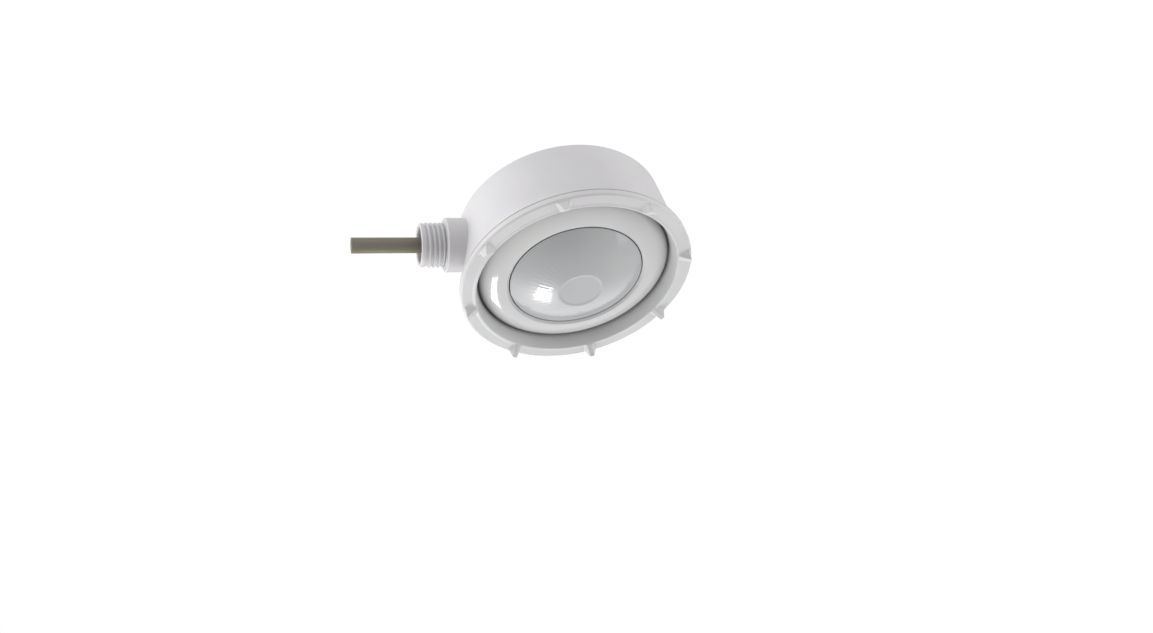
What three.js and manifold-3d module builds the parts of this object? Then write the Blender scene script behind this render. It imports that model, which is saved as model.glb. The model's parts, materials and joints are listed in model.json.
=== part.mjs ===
// Underwater pool light: a round plastic pot with a screw-on trim ring, a domed lens in a
// bezel that lifts out for service, a halogen capsule in a reflector, and a round cable that
// leaves through a threaded side nipple with a compression gland in it.
//
// Frame: millimetres, +Z up. The lamp's axis lies along Y and the light shines towards -Y.
// The origin is the centre of the pot's flat back face. The cable leaves towards -X.
// "Forward" means the distance from the back face towards the front, which is -y.
// "Outward" means the distance from the lamp's axis along the nipple, which is -x.

import * as THREE from "three";
import { mergeVertices } from "three/addons/utils/BufferGeometryUtils.js";
import Module from "manifold-3d";

// ---------- driving dimensions ----------

// Trim ring: flat face, short side wall, long inner skirt that screws into the pot.
const RING_RADIUS = 70;
const RING_FACE = 49; // forward position of the flat face
const RING_SIDE = 5.5; // depth of the side wall
const RING_BEVEL = 1; // bevel round the outer edge of the face
const RING_INNER_RADIUS = 61.2;
const RING_LIP = 0.5; // height of the raised lip round the inner edge
const SKIRT_END = 37.9; // forward position of the rear end of the inner skirt
const SKIRT_INNER_RADIUS = 58.9; // at the rear end, where the recess is narrowest
const SKIRT_OUTER_RADIUS = 62.4;
const RING_THREAD_PITCH = 3;
const RING_THREAD_HEIGHT = 0.8;

// Grip lugs on the face of the trim ring.
const LUG_COUNT = 8;
const LUG_PHASE = THREE.MathUtils.degToRad(20); // angle of the first lug, from +X towards +Z
const LUG_HEIGHT = 6; // at the outer end
const LUG_INNER_HEIGHT = 1.2; // at the inner end
const LUG_BASE_WIDTH = 8.4;
const LUG_TIP_WIDTH = 3;
const LUG_INNER_RADIUS = 62.3;
const LUG_OUTER_RADIUS = 68.4;

// Pot.
const POT_BACK_RADIUS = 64.5;
const POT_FRONT_RADIUS = 66.7;
const POT_FRONT = 45.6;
const POT_FLOOR = 3.5; // inside face of the back wall
const POT_INNER_RADIUS = 61;
const POT_MOUTH_RADIUS = 63.6;
const LEDGE_FORWARD = 32; // seat of the gasket
const LEDGE_RADIUS = 57.5;
const BEAD_RADIUS = 67.3; // thin bead just behind the trim ring
const BEAD_REAR = 41.7;
const BEAD_FRONT = 43.1;

// Side hub and nipple.
const HUB_FORWARD = 16.9; // forward position of the hub's axis
const HUB_RADIUS = 16;
const HUB_SHOULDER = 75.7; // outward
const NIPPLE_END = 90.5; // outward
const NIPPLE_NECK_RADIUS = 13.4; // short plain neck between the shoulder and the thread
const NIPPLE_NECK_END = 76.3; // outward
const NIPPLE_ROOT_RADIUS = 12;
const NIPPLE_CREST_RADIUS = 13.2;
const NIPPLE_COLLAR_RADIUS = 12.7;
const NIPPLE_PITCH = 2.7;
const NIPPLE_CRESTS = 4;
const NIPPLE_FIRST_CREST = 77.6; // outward
const GLAND_BORE_RADIUS = 10.4;
const GLAND_SEAT = 68; // outward: floor of the gland bore
const PASSAGE_RADIUS = 6; // cable passage from the gland bore into the pot

// Bezel and lens.
const BEZEL_RADIUS = 58.3; // visible outer edge, at the foot of the dome
const BEZEL_FOOT = 37.4;
const BEZEL_CROWN = 45.1; // forward position of the dome next to the window
const BEZEL_FLANGE_RADIUS = 62.2;
const BEZEL_FLANGE_REAR = 34.3;
const BEZEL_FLANGE_FRONT = 36.4;
const WINDOW_RADIUS = 40.8;
const LENS_RADIUS = 40.3; // where it passes through the window
const LENS_EDGE = 44; // forward position of the dome's edge
const LENS_APEX = 56.6; // of the full dome, before the flat disc
const LENS_DISC_RADIUS = 12.9;
const LENS_DISC = 55.9; // forward position of the flat disc at the apex
const LENS_THICKNESS = 3;
const LENS_FLANGE_RADIUS = 45.3;
const LENS_FLANGE_REAR = 39.4;
const LENS_FLANGE_FRONT = 41.4;
const BEZEL_SCREW_CIRCLE = 50; // radius of both screw circles
const RETAINER_REAR = 36.8;
const RETAINER_FRONT = 38.2;

// Reflector and lamp.
const REFLECTOR_RIM_RADIUS = 40.5;
const REFLECTOR_RIM = 33.5;
const REFLECTOR_NECK_RADIUS = 8;
const REFLECTOR_NECK = 14.2;
const REFLECTOR_WALL = 1;
const REFLECTOR_FLANGE = 30.6; // rear face of the mounting flange
const REFLECTOR_FLANGE_RADIUS = 56.8;
const REFLECTOR_FLANGE_THICKNESS = 1.2;
const HOLDER_REAR = 6.4;
const HOLDER_FRONT = 13.4;
const PIN_SPACING = 6.35;
const BULB_RADIUS = 4.7;
const BULB_TIP = 38;
const FILAMENT_FORWARD = 31;

// Cable and its inner wiring.
const CABLE_RADIUS = 4.6;
const CABLE_OUTER_END = 129; // outward
const CABLE_INNER_END = 50;
const CORE_RADIUS = 1.4;
const CORE_OFFSET = 2.1; // of each core from the cable's axis, along Z
const LEAD_RADIUS = 1.1;
const POLE_OFFSET = 4.5; // of each terminal from the block's middle, along Z
const TERMINAL_FORWARD = 13.5; // forward position of the wire holes
const BLOCK_OUTER_END = 45;
const BLOCK_INNER_END = 31;
const BLOCK_REAR = 9;
const BLOCK_FRONT = 19.5;
const CLAMP_OUTWARD = 56; // middle of the cable clamp
const CLAMP_WIDTH = 6;
const CLAMP_SCREW_OFFSET = 8.8;

// Gland nut.
const NUT_REAR = 80.1; // outward
const NUT_END = 86.6;
const NUT_SOCKET_FLATS = 14;
const NUT_SOCKET_DEPTH = 3.4;

// Fineness of round shapes, and the air left between neighbouring pieces.
const RING_SEGMENTS = 48;
const HIDDEN_SEGMENTS = 32; // round pieces that only show when the light is apart
const NIPPLE_SEGMENTS = 24;
const SMALL_SEGMENTS = 12;
const GAP = 0.3;
const MERGE_DISTANCE = 1e-3;

// ---------- finishes ----------

function finish(colour, roughness, metalness = 0) {
  return new THREE.MeshStandardMaterial({ color: colour, roughness, metalness });
}

const finishes = {
  whitePlastic: () => finish(0xe6e5e3, 0.4),
  bezelPlastic: () => finish(0xdededc, 0.2),
  innerPlastic: () => finish(0xcfcfcc, 0.5),
  blackPlastic: () => finish(0x2a2a2a, 0.5),
  frostedGlass: () => finish(0xc4c5c3, 0.25),
  clearGlass: () => finish(0xe8eef0, 0.05),
  ceramic: () => finish(0xede8dc, 0.6),
  rubber: () => finish(0x1f1f1f, 0.85),
  cableRubber: () => finish(0x76705f, 0.7),
  insulation: () => finish(0x6b4a2f, 0.6),
  silicone: () => finish(0xd8d2c4, 0.7),
  mirror: () => finish(0xd6d8da, 0.12, 1),
  steel: () => finish(0xb4b6b8, 0.3, 1),
  brass: () => finish(0xc9a24b, 0.35, 1),
  tungsten: () => finish(0x77736c, 0.5, 1),
};

// ---------- helpers ----------

const wasm = await Module();
wasm.setup();

// A closed geometry as a solid that can be joined and cut.
function toSolid(geometry) {
  const triangles = geometry.index ? geometry.toNonIndexed() : geometry;
  const bare = new THREE.BufferGeometry();
  bare.setAttribute("position", triangles.getAttribute("position"));
  const merged = mergeVertices(bare, MERGE_DISTANCE);
  const mesh = new wasm.Mesh({
    numProp: 3,
    vertProperties: merged.getAttribute("position").array,
    triVerts: new Uint32Array(merged.index.array),
  });
  return new wasm.Manifold(mesh);
}

function toGeometry(solid) {
  const mesh = solid.getMesh();
  const geometry = new THREE.BufferGeometry();
  geometry.setAttribute("position", new THREE.BufferAttribute(mesh.vertProperties, 3));
  geometry.setIndex(new THREE.BufferAttribute(mesh.triVerts, 1));
  geometry.computeVertexNormals();
  return geometry;
}

function join(geometries) {
  const solids = geometries.map(toSolid);
  return toGeometry(solids.reduce((whole, piece) => whole.add(piece)));
}

function cut(geometry, tools) {
  const solids = tools.map(toSolid);
  return toGeometry(solids.reduce((rest, tool) => rest.subtract(tool), toSolid(geometry)));
}

// A turned solid about +Y, from its section's [radius, height] corners in order.
function turned(corners, segments) {
  const outline = corners.map(([radius, height]) => new THREE.Vector2(radius, height));
  const startsOnAxis = outline[0].x === 0;
  if (!startsOnAxis) outline.push(outline[0].clone());
  if (THREE.ShapeUtils.area(outline) < 0) outline.reverse();
  return new THREE.LatheGeometry(outline, segments);
}

// A turned solid on the lamp's axis: heights are forward positions.
function onLampAxis(corners, segments = RING_SEGMENTS) {
  return turned(corners, segments).rotateX(Math.PI);
}

// A turned solid on the nipple's axis: heights are outward positions.
function onNippleAxis(corners, segments = NIPPLE_SEGMENTS) {
  return turned(corners, segments).rotateZ(Math.PI / 2).translate(0, -HUB_FORWARD, 0);
}

// A plain rod along the lamp's axis direction, at x and z.
function rodForward(radius, from, to, x, z, segments = SMALL_SEGMENTS) {
  const rod = new THREE.CylinderGeometry(radius, radius, to - from, segments);
  return rod.translate(x, -(from + to) / 2, z);
}

// A box given by its outward, forward and z ranges.
function block(outwardFrom, outwardTo, forwardFrom, forwardTo, halfWidth) {
  const box = new THREE.BoxGeometry(outwardTo - outwardFrom, forwardTo - forwardFrom, 2 * halfWidth);
  return box.translate(-(outwardFrom + outwardTo) / 2, -(forwardFrom + forwardTo) / 2, 0);
}

// Corners of an arc in a section: centre, the two half axes, start and end angle in degrees.
function arc(centreRadius, centreHeight, halfWidth, halfHeight, from, to, steps) {
  return Array.from({ length: steps + 1 }, (_, i) => {
    const angle = THREE.MathUtils.degToRad(from + ((to - from) * i) / steps);
    return [centreRadius + halfWidth * Math.cos(angle), centreHeight + halfHeight * Math.sin(angle)];
  });
}

// Corners of a row of equal thread ridges on a cylinder, in order of rising height.
function ridges(rootRadius, crestRadius, firstCrest, pitch, count) {
  const foot = 0.36 * pitch;
  const flat = 0.12 * pitch;
  const corners = [];
  for (let i = 0; i < count; i += 1) {
    const crest = firstCrest + i * pitch;
    corners.push([rootRadius, crest - foot]);
    corners.push([crestRadius, crest - flat]);
    corners.push([crestRadius, crest + flat]);
    corners.push([rootRadius, crest + foot]);
  }
  return corners;
}

// A wire: a round section drawn along a smooth curve through the given points.
function wire(points, radius, steps, sides = 8) {
  const section = new THREE.Shape();
  section.absarc(0, 0, radius, 0, 2 * Math.PI);
  return new THREE.ExtrudeGeometry(section, {
    extrudePath: new THREE.CatmullRomCurve3(points),
    steps,
    curveSegments: sides / 2,
    bevelEnabled: false,
  });
}

// A point given by its outward and forward positions and z.
function place(outward, forward, z) {
  return new THREE.Vector3(-outward, -forward, z);
}

// Points equally spaced on a circle about the lamp's axis, as [x, z].
function circle(radius, count, phaseDegrees) {
  return Array.from({ length: count }, (_, i) => {
    const angle = THREE.MathUtils.degToRad(phaseDegrees + (360 * i) / count);
    return [radius * Math.cos(angle), radius * Math.sin(angle)];
  });
}

// A pan-head screw with a slot, its axis along the lamp's axis. "seat" is the forward position
// under the head; the head points forward, or backward when facing is -1.
function screw(seat, length, shankRadius, headRadius, x, z, facing = 1) {
  const headHeight = 0.7 * headRadius;
  const slotDepth = 0.4 * headHeight;
  const slotWidth = 0.3 * headRadius;
  const body = turned(
    [
      [0, -length],
      [0.5 * shankRadius, -length],
      [shankRadius, -length + shankRadius],
      [shankRadius, 0],
      [headRadius, 0],
      [headRadius, 0.6 * headHeight],
      [0.75 * headRadius, headHeight],
      [0, headHeight],
    ],
    SMALL_SEGMENTS,
  );
  const slot = new THREE.BoxGeometry(3 * headRadius, 2 * slotDepth, slotWidth);
  slot.translate(0, headHeight, 0);
  const shape = cut(body, [slot]);
  if (facing > 0) shape.rotateX(Math.PI);
  return shape.translate(x, -seat, z);
}

function piece(name, geometry, material) {
  const mesh = new THREE.Mesh(geometry, material);
  mesh.name = name;
  return mesh;
}

// ---------- pot ----------

const BEZEL_SCREWS = circle(BEZEL_SCREW_CIRCLE, 4, 45);
const REFLECTOR_SCREWS = circle(BEZEL_SCREW_CIRCLE, 3, 90);
const HOLDER_SCREW_OFFSET = 15;
const HOLDER_BOSS = 5; // forward position of the tops of the two holder bosses
const REFLECTOR_POST_RADIUS = 3.2;
const CLAMP_POST_RADIUS = 2.8;
const CLAMP_SEAT = 16.4; // forward position of the tops of the two clamp posts
const SCREW_SHANK = 1.2;
const SCREW_HOLE = SCREW_SHANK + GAP;

function potShell() {
  const backChamfer = 1.2;
  const floorFillet = 1.5;
  const ledgeThickness = 2;
  const draft = (POT_FRONT_RADIUS - POT_BACK_RADIUS) / POT_FRONT;
  return onLampAxis([
    [0, 0],
    [POT_BACK_RADIUS - backChamfer, 0],
    [POT_BACK_RADIUS, backChamfer],
    [POT_BACK_RADIUS + draft * BEAD_REAR, BEAD_REAR],
    [BEAD_RADIUS, BEAD_REAR + GAP],
    [BEAD_RADIUS, BEAD_FRONT],
    [POT_FRONT_RADIUS, BEAD_FRONT],
    [POT_FRONT_RADIUS, POT_FRONT],
    [POT_MOUTH_RADIUS, POT_FRONT],
    [POT_MOUTH_RADIUS, LEDGE_FORWARD],
    [LEDGE_RADIUS, LEDGE_FORWARD],
    [LEDGE_RADIUS, LEDGE_FORWARD - ledgeThickness],
    [POT_INNER_RADIUS, LEDGE_FORWARD - 2 * ledgeThickness],
    [POT_INNER_RADIUS, POT_FLOOR + floorFillet],
    [POT_INNER_RADIUS - floorFillet, POT_FLOOR],
    [0, POT_FLOOR],
  ]);
}

function hubAndNipple() {
  const shoulderChamfer = 0.8;
  const endChamfer = 0.9;
  const collarStart = NIPPLE_END - 3.4;
  return onNippleAxis([
    [0, POT_INNER_RADIUS + 1.2],
    [HUB_RADIUS, POT_INNER_RADIUS + 1.2],
    [HUB_RADIUS, HUB_SHOULDER - shoulderChamfer],
    [HUB_RADIUS - shoulderChamfer, HUB_SHOULDER],
    [NIPPLE_NECK_RADIUS, HUB_SHOULDER],
    [NIPPLE_NECK_RADIUS, NIPPLE_NECK_END],
    [NIPPLE_ROOT_RADIUS, NIPPLE_NECK_END],
    ...ridges(NIPPLE_ROOT_RADIUS, NIPPLE_CREST_RADIUS, NIPPLE_FIRST_CREST, NIPPLE_PITCH, NIPPLE_CRESTS),
    [NIPPLE_COLLAR_RADIUS, collarStart],
    [NIPPLE_COLLAR_RADIUS, NIPPLE_END - endChamfer],
    [NIPPLE_COLLAR_RADIUS - endChamfer, NIPPLE_END],
    [0, NIPPLE_END],
  ]);
}

// The gland bore from the nipple's end to its seat, and the narrow passage into the pot.
function glandBore() {
  const mouthChamfer = 0.5;
  const beyond = 1;
  return onNippleAxis([
    [0, POT_INNER_RADIUS - 2],
    [PASSAGE_RADIUS, POT_INNER_RADIUS - 2],
    [PASSAGE_RADIUS, GLAND_SEAT],
    [GLAND_BORE_RADIUS, GLAND_SEAT],
    [GLAND_BORE_RADIUS, NIPPLE_END - mouthChamfer],
    [GLAND_BORE_RADIUS + mouthChamfer + beyond, NIPPLE_END + beyond],
    [0, NIPPLE_END + beyond],
  ]);
}

// Posts, bosses, the cable cradle and the terminal pedestal that stand on the pot's floor.
function potPosts() {
  const sunk = POT_FLOOR - 1;
  const posts = REFLECTOR_SCREWS.map(([x, z]) => {
    return rodForward(REFLECTOR_POST_RADIUS, sunk, REFLECTOR_FLANGE - GAP, x, z);
  });
  for (const side of [-1, 1]) {
    const bossZ = side * HOLDER_SCREW_OFFSET;
    const postZ = side * CLAMP_SCREW_OFFSET;
    posts.push(rodForward(REFLECTOR_POST_RADIUS, sunk, HOLDER_BOSS, 0, bossZ));
    posts.push(rodForward(CLAMP_POST_RADIUS, sunk, CLAMP_SEAT, -CLAMP_OUTWARD, postZ));
  }
  const halfClamp = CLAMP_WIDTH / 2;
  const cradleTop = HUB_FORWARD - CABLE_RADIUS - GAP;
  posts.push(block(CLAMP_OUTWARD - halfClamp, CLAMP_OUTWARD + halfClamp, sunk, cradleTop, 4));
  posts.push(block(BLOCK_INNER_END + 1, BLOCK_OUTER_END - 1, sunk, BLOCK_REAR - GAP, 8));
  return posts;
}

function potScrewHoles() {
  const depth = 9;
  const middle = -(BLOCK_OUTER_END + BLOCK_INNER_END) / 2;
  const holes = REFLECTOR_SCREWS.map(([x, z]) => {
    return rodForward(SCREW_HOLE, REFLECTOR_FLANGE - depth, REFLECTOR_FLANGE, x, z);
  });
  for (const side of [-1, 1]) {
    holes.push(rodForward(SCREW_HOLE, 1, HOLDER_BOSS + 1, 0, side * HOLDER_SCREW_OFFSET));
    const postZ = side * CLAMP_SCREW_OFFSET;
    holes.push(rodForward(SCREW_HOLE, CLAMP_SEAT - depth, CLAMP_SEAT + 1, -CLAMP_OUTWARD, postZ));
  }
  holes.push(rodForward(SCREW_HOLE, BLOCK_REAR - 6, BLOCK_REAR, middle, 0));
  return holes;
}

// The open mouth above the ledge, which the hub's inner end must not reach into.
function potMouth() {
  return onLampAxis([
    [0, LEDGE_FORWARD],
    [POT_MOUTH_RADIUS, LEDGE_FORWARD],
    [POT_MOUTH_RADIUS, POT_FRONT + 1],
    [0, POT_FRONT + 1],
  ]);
}

function housingPot() {
  const shell = join([potShell(), hubAndNipple(), ...potPosts()]);
  return cut(shell, [potMouth(), glandBore(), ...potScrewHoles()]);
}

// The flat rubber gasket on the pot's ledge, with a raised bead in its middle.
function potGasket() {
  const inner = LEDGE_RADIUS + 0.6;
  const outer = POT_MOUTH_RADIUS - 0.6;
  const middle = (inner + outer) / 2;
  const rear = LEDGE_FORWARD + GAP;
  return onLampAxis(
    [
      [inner, rear],
      [outer, rear],
      [outer, rear + 1],
      [middle, BEZEL_FLANGE_REAR - GAP],
      [inner, rear + 1],
    ],
    HIDDEN_SEGMENTS,
  );
}

// ---------- trim ring ----------

function ringBody() {
  const rim = RING_SIDE - RING_BEVEL;
  const channelTop = POT_FRONT + 0.6;
  const channelOuter = BEAD_RADIUS + GAP;
  const rear = RING_FACE - RING_SIDE;
  const threadStart = SKIRT_END + 1.6;
  return onLampAxis([
    [channelOuter, rear],
    [RING_RADIUS - 0.4, rear],
    [RING_RADIUS, rear + 0.4],
    [RING_RADIUS, rear + rim],
    [RING_RADIUS - RING_BEVEL, RING_FACE],
    [RING_INNER_RADIUS + 1.3, RING_FACE],
    [RING_INNER_RADIUS + 1, RING_FACE + RING_LIP],
    [RING_INNER_RADIUS + 0.3, RING_FACE + RING_LIP],
    [RING_INNER_RADIUS, RING_FACE],
    [SKIRT_INNER_RADIUS, SKIRT_END + 0.5],
    [SKIRT_INNER_RADIUS + 0.4, SKIRT_END],
    [SKIRT_OUTER_RADIUS, SKIRT_END],
    ...ridges(
      SKIRT_OUTER_RADIUS,
      SKIRT_OUTER_RADIUS + RING_THREAD_HEIGHT,
      threadStart,
      RING_THREAD_PITCH,
      2,
    ),
    [SKIRT_OUTER_RADIUS, channelTop],
    [channelOuter, channelTop],
  ]);
}

// One grip lug: a radial rib with hollowed flanks that rises outwards from the ring's face.
function lug(angle) {
  const halfBase = LUG_BASE_WIDTH / 2;
  const halfTip = LUG_TIP_WIDTH / 2;
  const sunk = 0.8;
  const waist = 0.45;
  const waistX = halfTip + 0.3 * (halfBase - halfTip);
  const section = new THREE.Shape();
  section.moveTo(-halfBase, -sunk);
  section.lineTo(halfBase, -sunk);
  section.lineTo(halfBase, 0);
  section.quadraticCurveTo(waistX, waist * LUG_HEIGHT * 0.5, halfTip, LUG_HEIGHT);
  section.lineTo(-halfTip, LUG_HEIGHT);
  section.quadraticCurveTo(-waistX, waist * LUG_HEIGHT * 0.5, -halfBase, 0);
  const length = LUG_OUTER_RADIUS - LUG_INNER_RADIUS;
  const rib = new THREE.ExtrudeGeometry(section, {
    depth: length,
    curveSegments: 4,
    bevelEnabled: false,
  });
  const corners = rib.getAttribute('position');
  for (let i = 0; i < corners.count; i++) {
    const outward = corners.getZ(i) / length;
    const share = THREE.MathUtils.lerp(LUG_INNER_HEIGHT / LUG_HEIGHT, 1, outward);
    if (corners.getY(i) > 0) {
      corners.setY(i, share * corners.getY(i));
    }
  }
  // The section's height becomes forward, and the extrusion runs outwards along +X.
  const frame = new THREE.Matrix4().makeBasis(
    new THREE.Vector3(0, 0, 1),
    new THREE.Vector3(0, -1, 0),
    new THREE.Vector3(1, 0, 0),
  );
  rib.applyMatrix4(frame);
  rib.translate(LUG_INNER_RADIUS, -RING_FACE, 0);
  return rib.rotateY(-angle);
}

function trimRing() {
  const lugs = Array.from({ length: LUG_COUNT }, (_, i) => {
    return lug(LUG_PHASE + (2 * Math.PI * i) / LUG_COUNT);
  });
  return join([ringBody(), ...lugs]);
}

// The thin slip ring that lets the trim ring turn without dragging the bezel round.
function slipRing() {
  const inner = SKIRT_INNER_RADIUS + 0.5;
  const outer = SKIRT_OUTER_RADIUS + 0.2;
  const rear = BEZEL_FLANGE_FRONT + GAP;
  const front = SKIRT_END - GAP;
  return onLampAxis(
    [
      [inner, rear],
      [outer, rear],
      [outer, front],
      [inner, front],
    ],
    HIDDEN_SEGMENTS,
  );
}

// ---------- bezel and lens ----------

function bezelRing() {
  const lipRear = LENS_FLANGE_FRONT + 1.2;
  const crown = BEZEL_CROWN - BEZEL_FOOT;
  const windowBevel = 0.8;
  const dome = arc(
    WINDOW_RADIUS + windowBevel,
    BEZEL_FOOT,
    BEZEL_RADIUS - WINDOW_RADIUS - windowBevel,
    crown,
    0,
    90,
    6,
  );
  const ring = onLampAxis([
    [BEZEL_FLANGE_RADIUS, BEZEL_FLANGE_REAR],
    [BEZEL_FLANGE_RADIUS, BEZEL_FLANGE_FRONT],
    [BEZEL_RADIUS, BEZEL_FLANGE_FRONT],
    ...dome,
    [WINDOW_RADIUS, BEZEL_CROWN - GAP],
    [WINDOW_RADIUS, lipRear],
    [LENS_FLANGE_RADIUS + 0.9, lipRear],
    [BEZEL_SCREW_CIRCLE, lipRear - 0.8],
    [BEZEL_SCREW_CIRCLE + 4, lipRear - 3],
    [BEZEL_RADIUS - 2.4, BEZEL_FOOT],
    [BEZEL_RADIUS - 2.4, BEZEL_FLANGE_REAR],
  ]);
  const bosses = BEZEL_SCREWS.map(([x, z]) => rodForward(2.6, RETAINER_FRONT + GAP, lipRear, x, z));
  const holes = BEZEL_SCREWS.map(([x, z]) => rodForward(SCREW_HOLE, RETAINER_FRONT, lipRear - 1, x, z));
  return cut(join([ring, ...bosses]), holes);
}

function lens() {
  const edgeDrop = LENS_APEX - LENS_EDGE;
  const domeRadius = (LENS_RADIUS ** 2 + edgeDrop ** 2) / (2 * edgeDrop);
  const centre = LENS_APEX - domeRadius;
  const innerRadius = domeRadius - LENS_THICKNESS;
  const innerEdge = LENS_RADIUS - LENS_THICKNESS;
  const angleAt = (radius, sphere) => THREE.MathUtils.radToDeg(Math.acos(radius / sphere));
  const discBevel = 0.9;
  const front = arc(
    0,
    centre,
    domeRadius,
    domeRadius,
    angleAt(LENS_RADIUS, domeRadius),
    angleAt(LENS_DISC_RADIUS + discBevel, domeRadius),
    5,
  );
  const back = arc(0, centre, innerRadius, innerRadius, 90, angleAt(innerEdge, innerRadius), 5);
  back[0][0] = 0;
  return onLampAxis([
    [0, LENS_DISC],
    [LENS_DISC_RADIUS - discBevel, LENS_DISC],
    ...front.reverse(),
    [LENS_RADIUS, LENS_FLANGE_FRONT],
    [LENS_FLANGE_RADIUS, LENS_FLANGE_FRONT],
    [LENS_FLANGE_RADIUS, LENS_FLANGE_REAR],
    [innerEdge, LENS_FLANGE_REAR],
    ...back.reverse(),
  ]);
}

function lensGasket() {
  const rear = LENS_FLANGE_FRONT + 0.2;
  return onLampAxis(
    [
      [WINDOW_RADIUS + 0.4, rear],
      [LENS_FLANGE_RADIUS, rear],
      [LENS_FLANGE_RADIUS, rear + 0.8],
      [WINDOW_RADIUS + 0.4, rear + 0.8],
    ],
    HIDDEN_SEGMENTS,
  );
}

function lensRetainer() {
  const inner = WINDOW_RADIUS + 1;
  const outer = BEZEL_SCREW_CIRCLE + 3.4;
  const ring = onLampAxis(
    [
      [inner, RETAINER_REAR],
      [outer, RETAINER_REAR],
      [outer, RETAINER_FRONT],
      [LENS_FLANGE_RADIUS, RETAINER_FRONT],
      [LENS_FLANGE_RADIUS, LENS_FLANGE_REAR - 0.2],
      [inner, LENS_FLANGE_REAR - 0.2],
    ],
    HIDDEN_SEGMENTS,
  );
  const holes = BEZEL_SCREWS.map(([x, z]) => {
    return rodForward(SCREW_HOLE, RETAINER_REAR - 1, RETAINER_FRONT + 1, x, z);
  });
  return cut(ring, holes);
}

// ---------- reflector, lamp holder and halogen capsule ----------

// The parabola through the neck and the rim: forward position = vertex + radius^2 / slope.
const REFLECTOR_SLOPE =
  (REFLECTOR_RIM_RADIUS ** 2 - REFLECTOR_NECK_RADIUS ** 2) / (REFLECTOR_RIM - REFLECTOR_NECK);
const REFLECTOR_VERTEX = REFLECTOR_NECK - REFLECTOR_NECK_RADIUS ** 2 / REFLECTOR_SLOPE;

function bowlRadius(forward) {
  return Math.sqrt((forward - REFLECTOR_VERTEX) * REFLECTOR_SLOPE);
}

function reflector() {
  const steps = 6;
  const flangeFront = REFLECTOR_FLANGE + REFLECTOR_FLANGE_THICKNESS;
  const inside = Array.from({ length: steps + 1 }, (_, i) => {
    const share = i / steps;
    const radius = REFLECTOR_NECK_RADIUS + share * (REFLECTOR_RIM_RADIUS - REFLECTOR_NECK_RADIUS);
    return [radius, REFLECTOR_VERTEX + radius ** 2 / REFLECTOR_SLOPE];
  });
  const outside = inside
    .filter(([, forward]) => forward < REFLECTOR_FLANGE - 1)
    .map(([radius, forward]) => [radius + REFLECTOR_WALL, forward - 0.3 * REFLECTOR_WALL])
    .reverse();
  const bowl = onLampAxis(
    [
      ...inside,
      [REFLECTOR_RIM_RADIUS + REFLECTOR_WALL, REFLECTOR_RIM],
      [bowlRadius(flangeFront) + REFLECTOR_WALL, flangeFront],
      [REFLECTOR_FLANGE_RADIUS, flangeFront],
      [REFLECTOR_FLANGE_RADIUS, REFLECTOR_FLANGE],
      [bowlRadius(REFLECTOR_FLANGE) + REFLECTOR_WALL, REFLECTOR_FLANGE],
      ...outside,
    ],
    HIDDEN_SEGMENTS,
  );
  const holes = REFLECTOR_SCREWS.map(([x, z]) => {
    return rodForward(SCREW_HOLE, REFLECTOR_FLANGE - 1, flangeFront + 1, x, z);
  });
  return cut(bowl, holes);
}

const HOLDER_HALF_LENGTH = 9; // along X
const HOLDER_HALF_WIDTH = 6.5; // along Z
const CLIP_REAR = HOLDER_BOSS + GAP;
const CLIP_THICKNESS = 0.8;

function lampHolder() {
  const pinHole = 1;
  const leadHole = LEAD_RADIUS + GAP;
  const body = block(
    -HOLDER_HALF_LENGTH,
    HOLDER_HALF_LENGTH,
    HOLDER_REAR,
    HOLDER_FRONT,
    HOLDER_HALF_WIDTH,
  );
  const tools = [];
  for (const side of [-1, 1]) {
    const z = (side * PIN_SPACING) / 2;
    tools.push(rodForward(pinHole, HOLDER_REAR + 0.5, HOLDER_FRONT + 1, 0, z));
    const channel = new THREE.CylinderGeometry(leadHole, leadHole, 5, SMALL_SEGMENTS);
    channel.rotateZ(Math.PI / 2);
    channel.translate(-HOLDER_HALF_LENGTH, -(HOLDER_REAR + 3), z);
    tools.push(channel);
  }
  return cut(body, tools);
}

// The sheet-steel strip that grips the lamp holder between two upright tabs.
function holderClip() {
  const halfStrip = 5;
  const stripEnd = HOLDER_SCREW_OFFSET + 4;
  const tabInner = HOLDER_HALF_WIDTH + GAP;
  const tabTop = HOLDER_REAR + 3.5;
  const halfTab = tabInner + CLIP_THICKNESS;
  const strip = block(-halfStrip, halfStrip, CLIP_REAR, CLIP_REAR + CLIP_THICKNESS, stripEnd);
  const tabs = block(-halfStrip + 1, halfStrip - 1, CLIP_REAR, tabTop, halfTab);
  const between = block(-halfStrip, halfStrip, CLIP_REAR + CLIP_THICKNESS, tabTop + 1, tabInner);
  const holes = [-1, 1].map((side) => {
    return rodForward(SCREW_HOLE, CLIP_REAR - 1, CLIP_REAR + 2, 0, side * HOLDER_SCREW_OFFSET);
  });
  return join([cut(strip, holes), cut(tabs, [between])]);
}

const PINCH_REAR = HOLDER_FRONT + GAP;
const PINCH_FRONT = 20.5;
const ENVELOPE_REAR = 21;

// The hollow glass envelope, open at its rear end where the pinch closes it.
function bulbEnvelope() {
  const inside = BULB_RADIUS - 0.8;
  const domeCentre = BULB_TIP - BULB_RADIUS;
  return onLampAxis(
    [
      [inside, ENVELOPE_REAR],
      [BULB_RADIUS, ENVELOPE_REAR],
      ...arc(0, domeCentre, BULB_RADIUS, BULB_RADIUS, 0, 90, 5).map(([r, h]) => [Math.max(r, 0), h]),
      ...arc(0, domeCentre, inside, inside, 90, 0, 4).map(([r, h]) => [Math.max(r, 0), h]),
    ],
    SMALL_SEGMENTS,
  );
}

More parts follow.
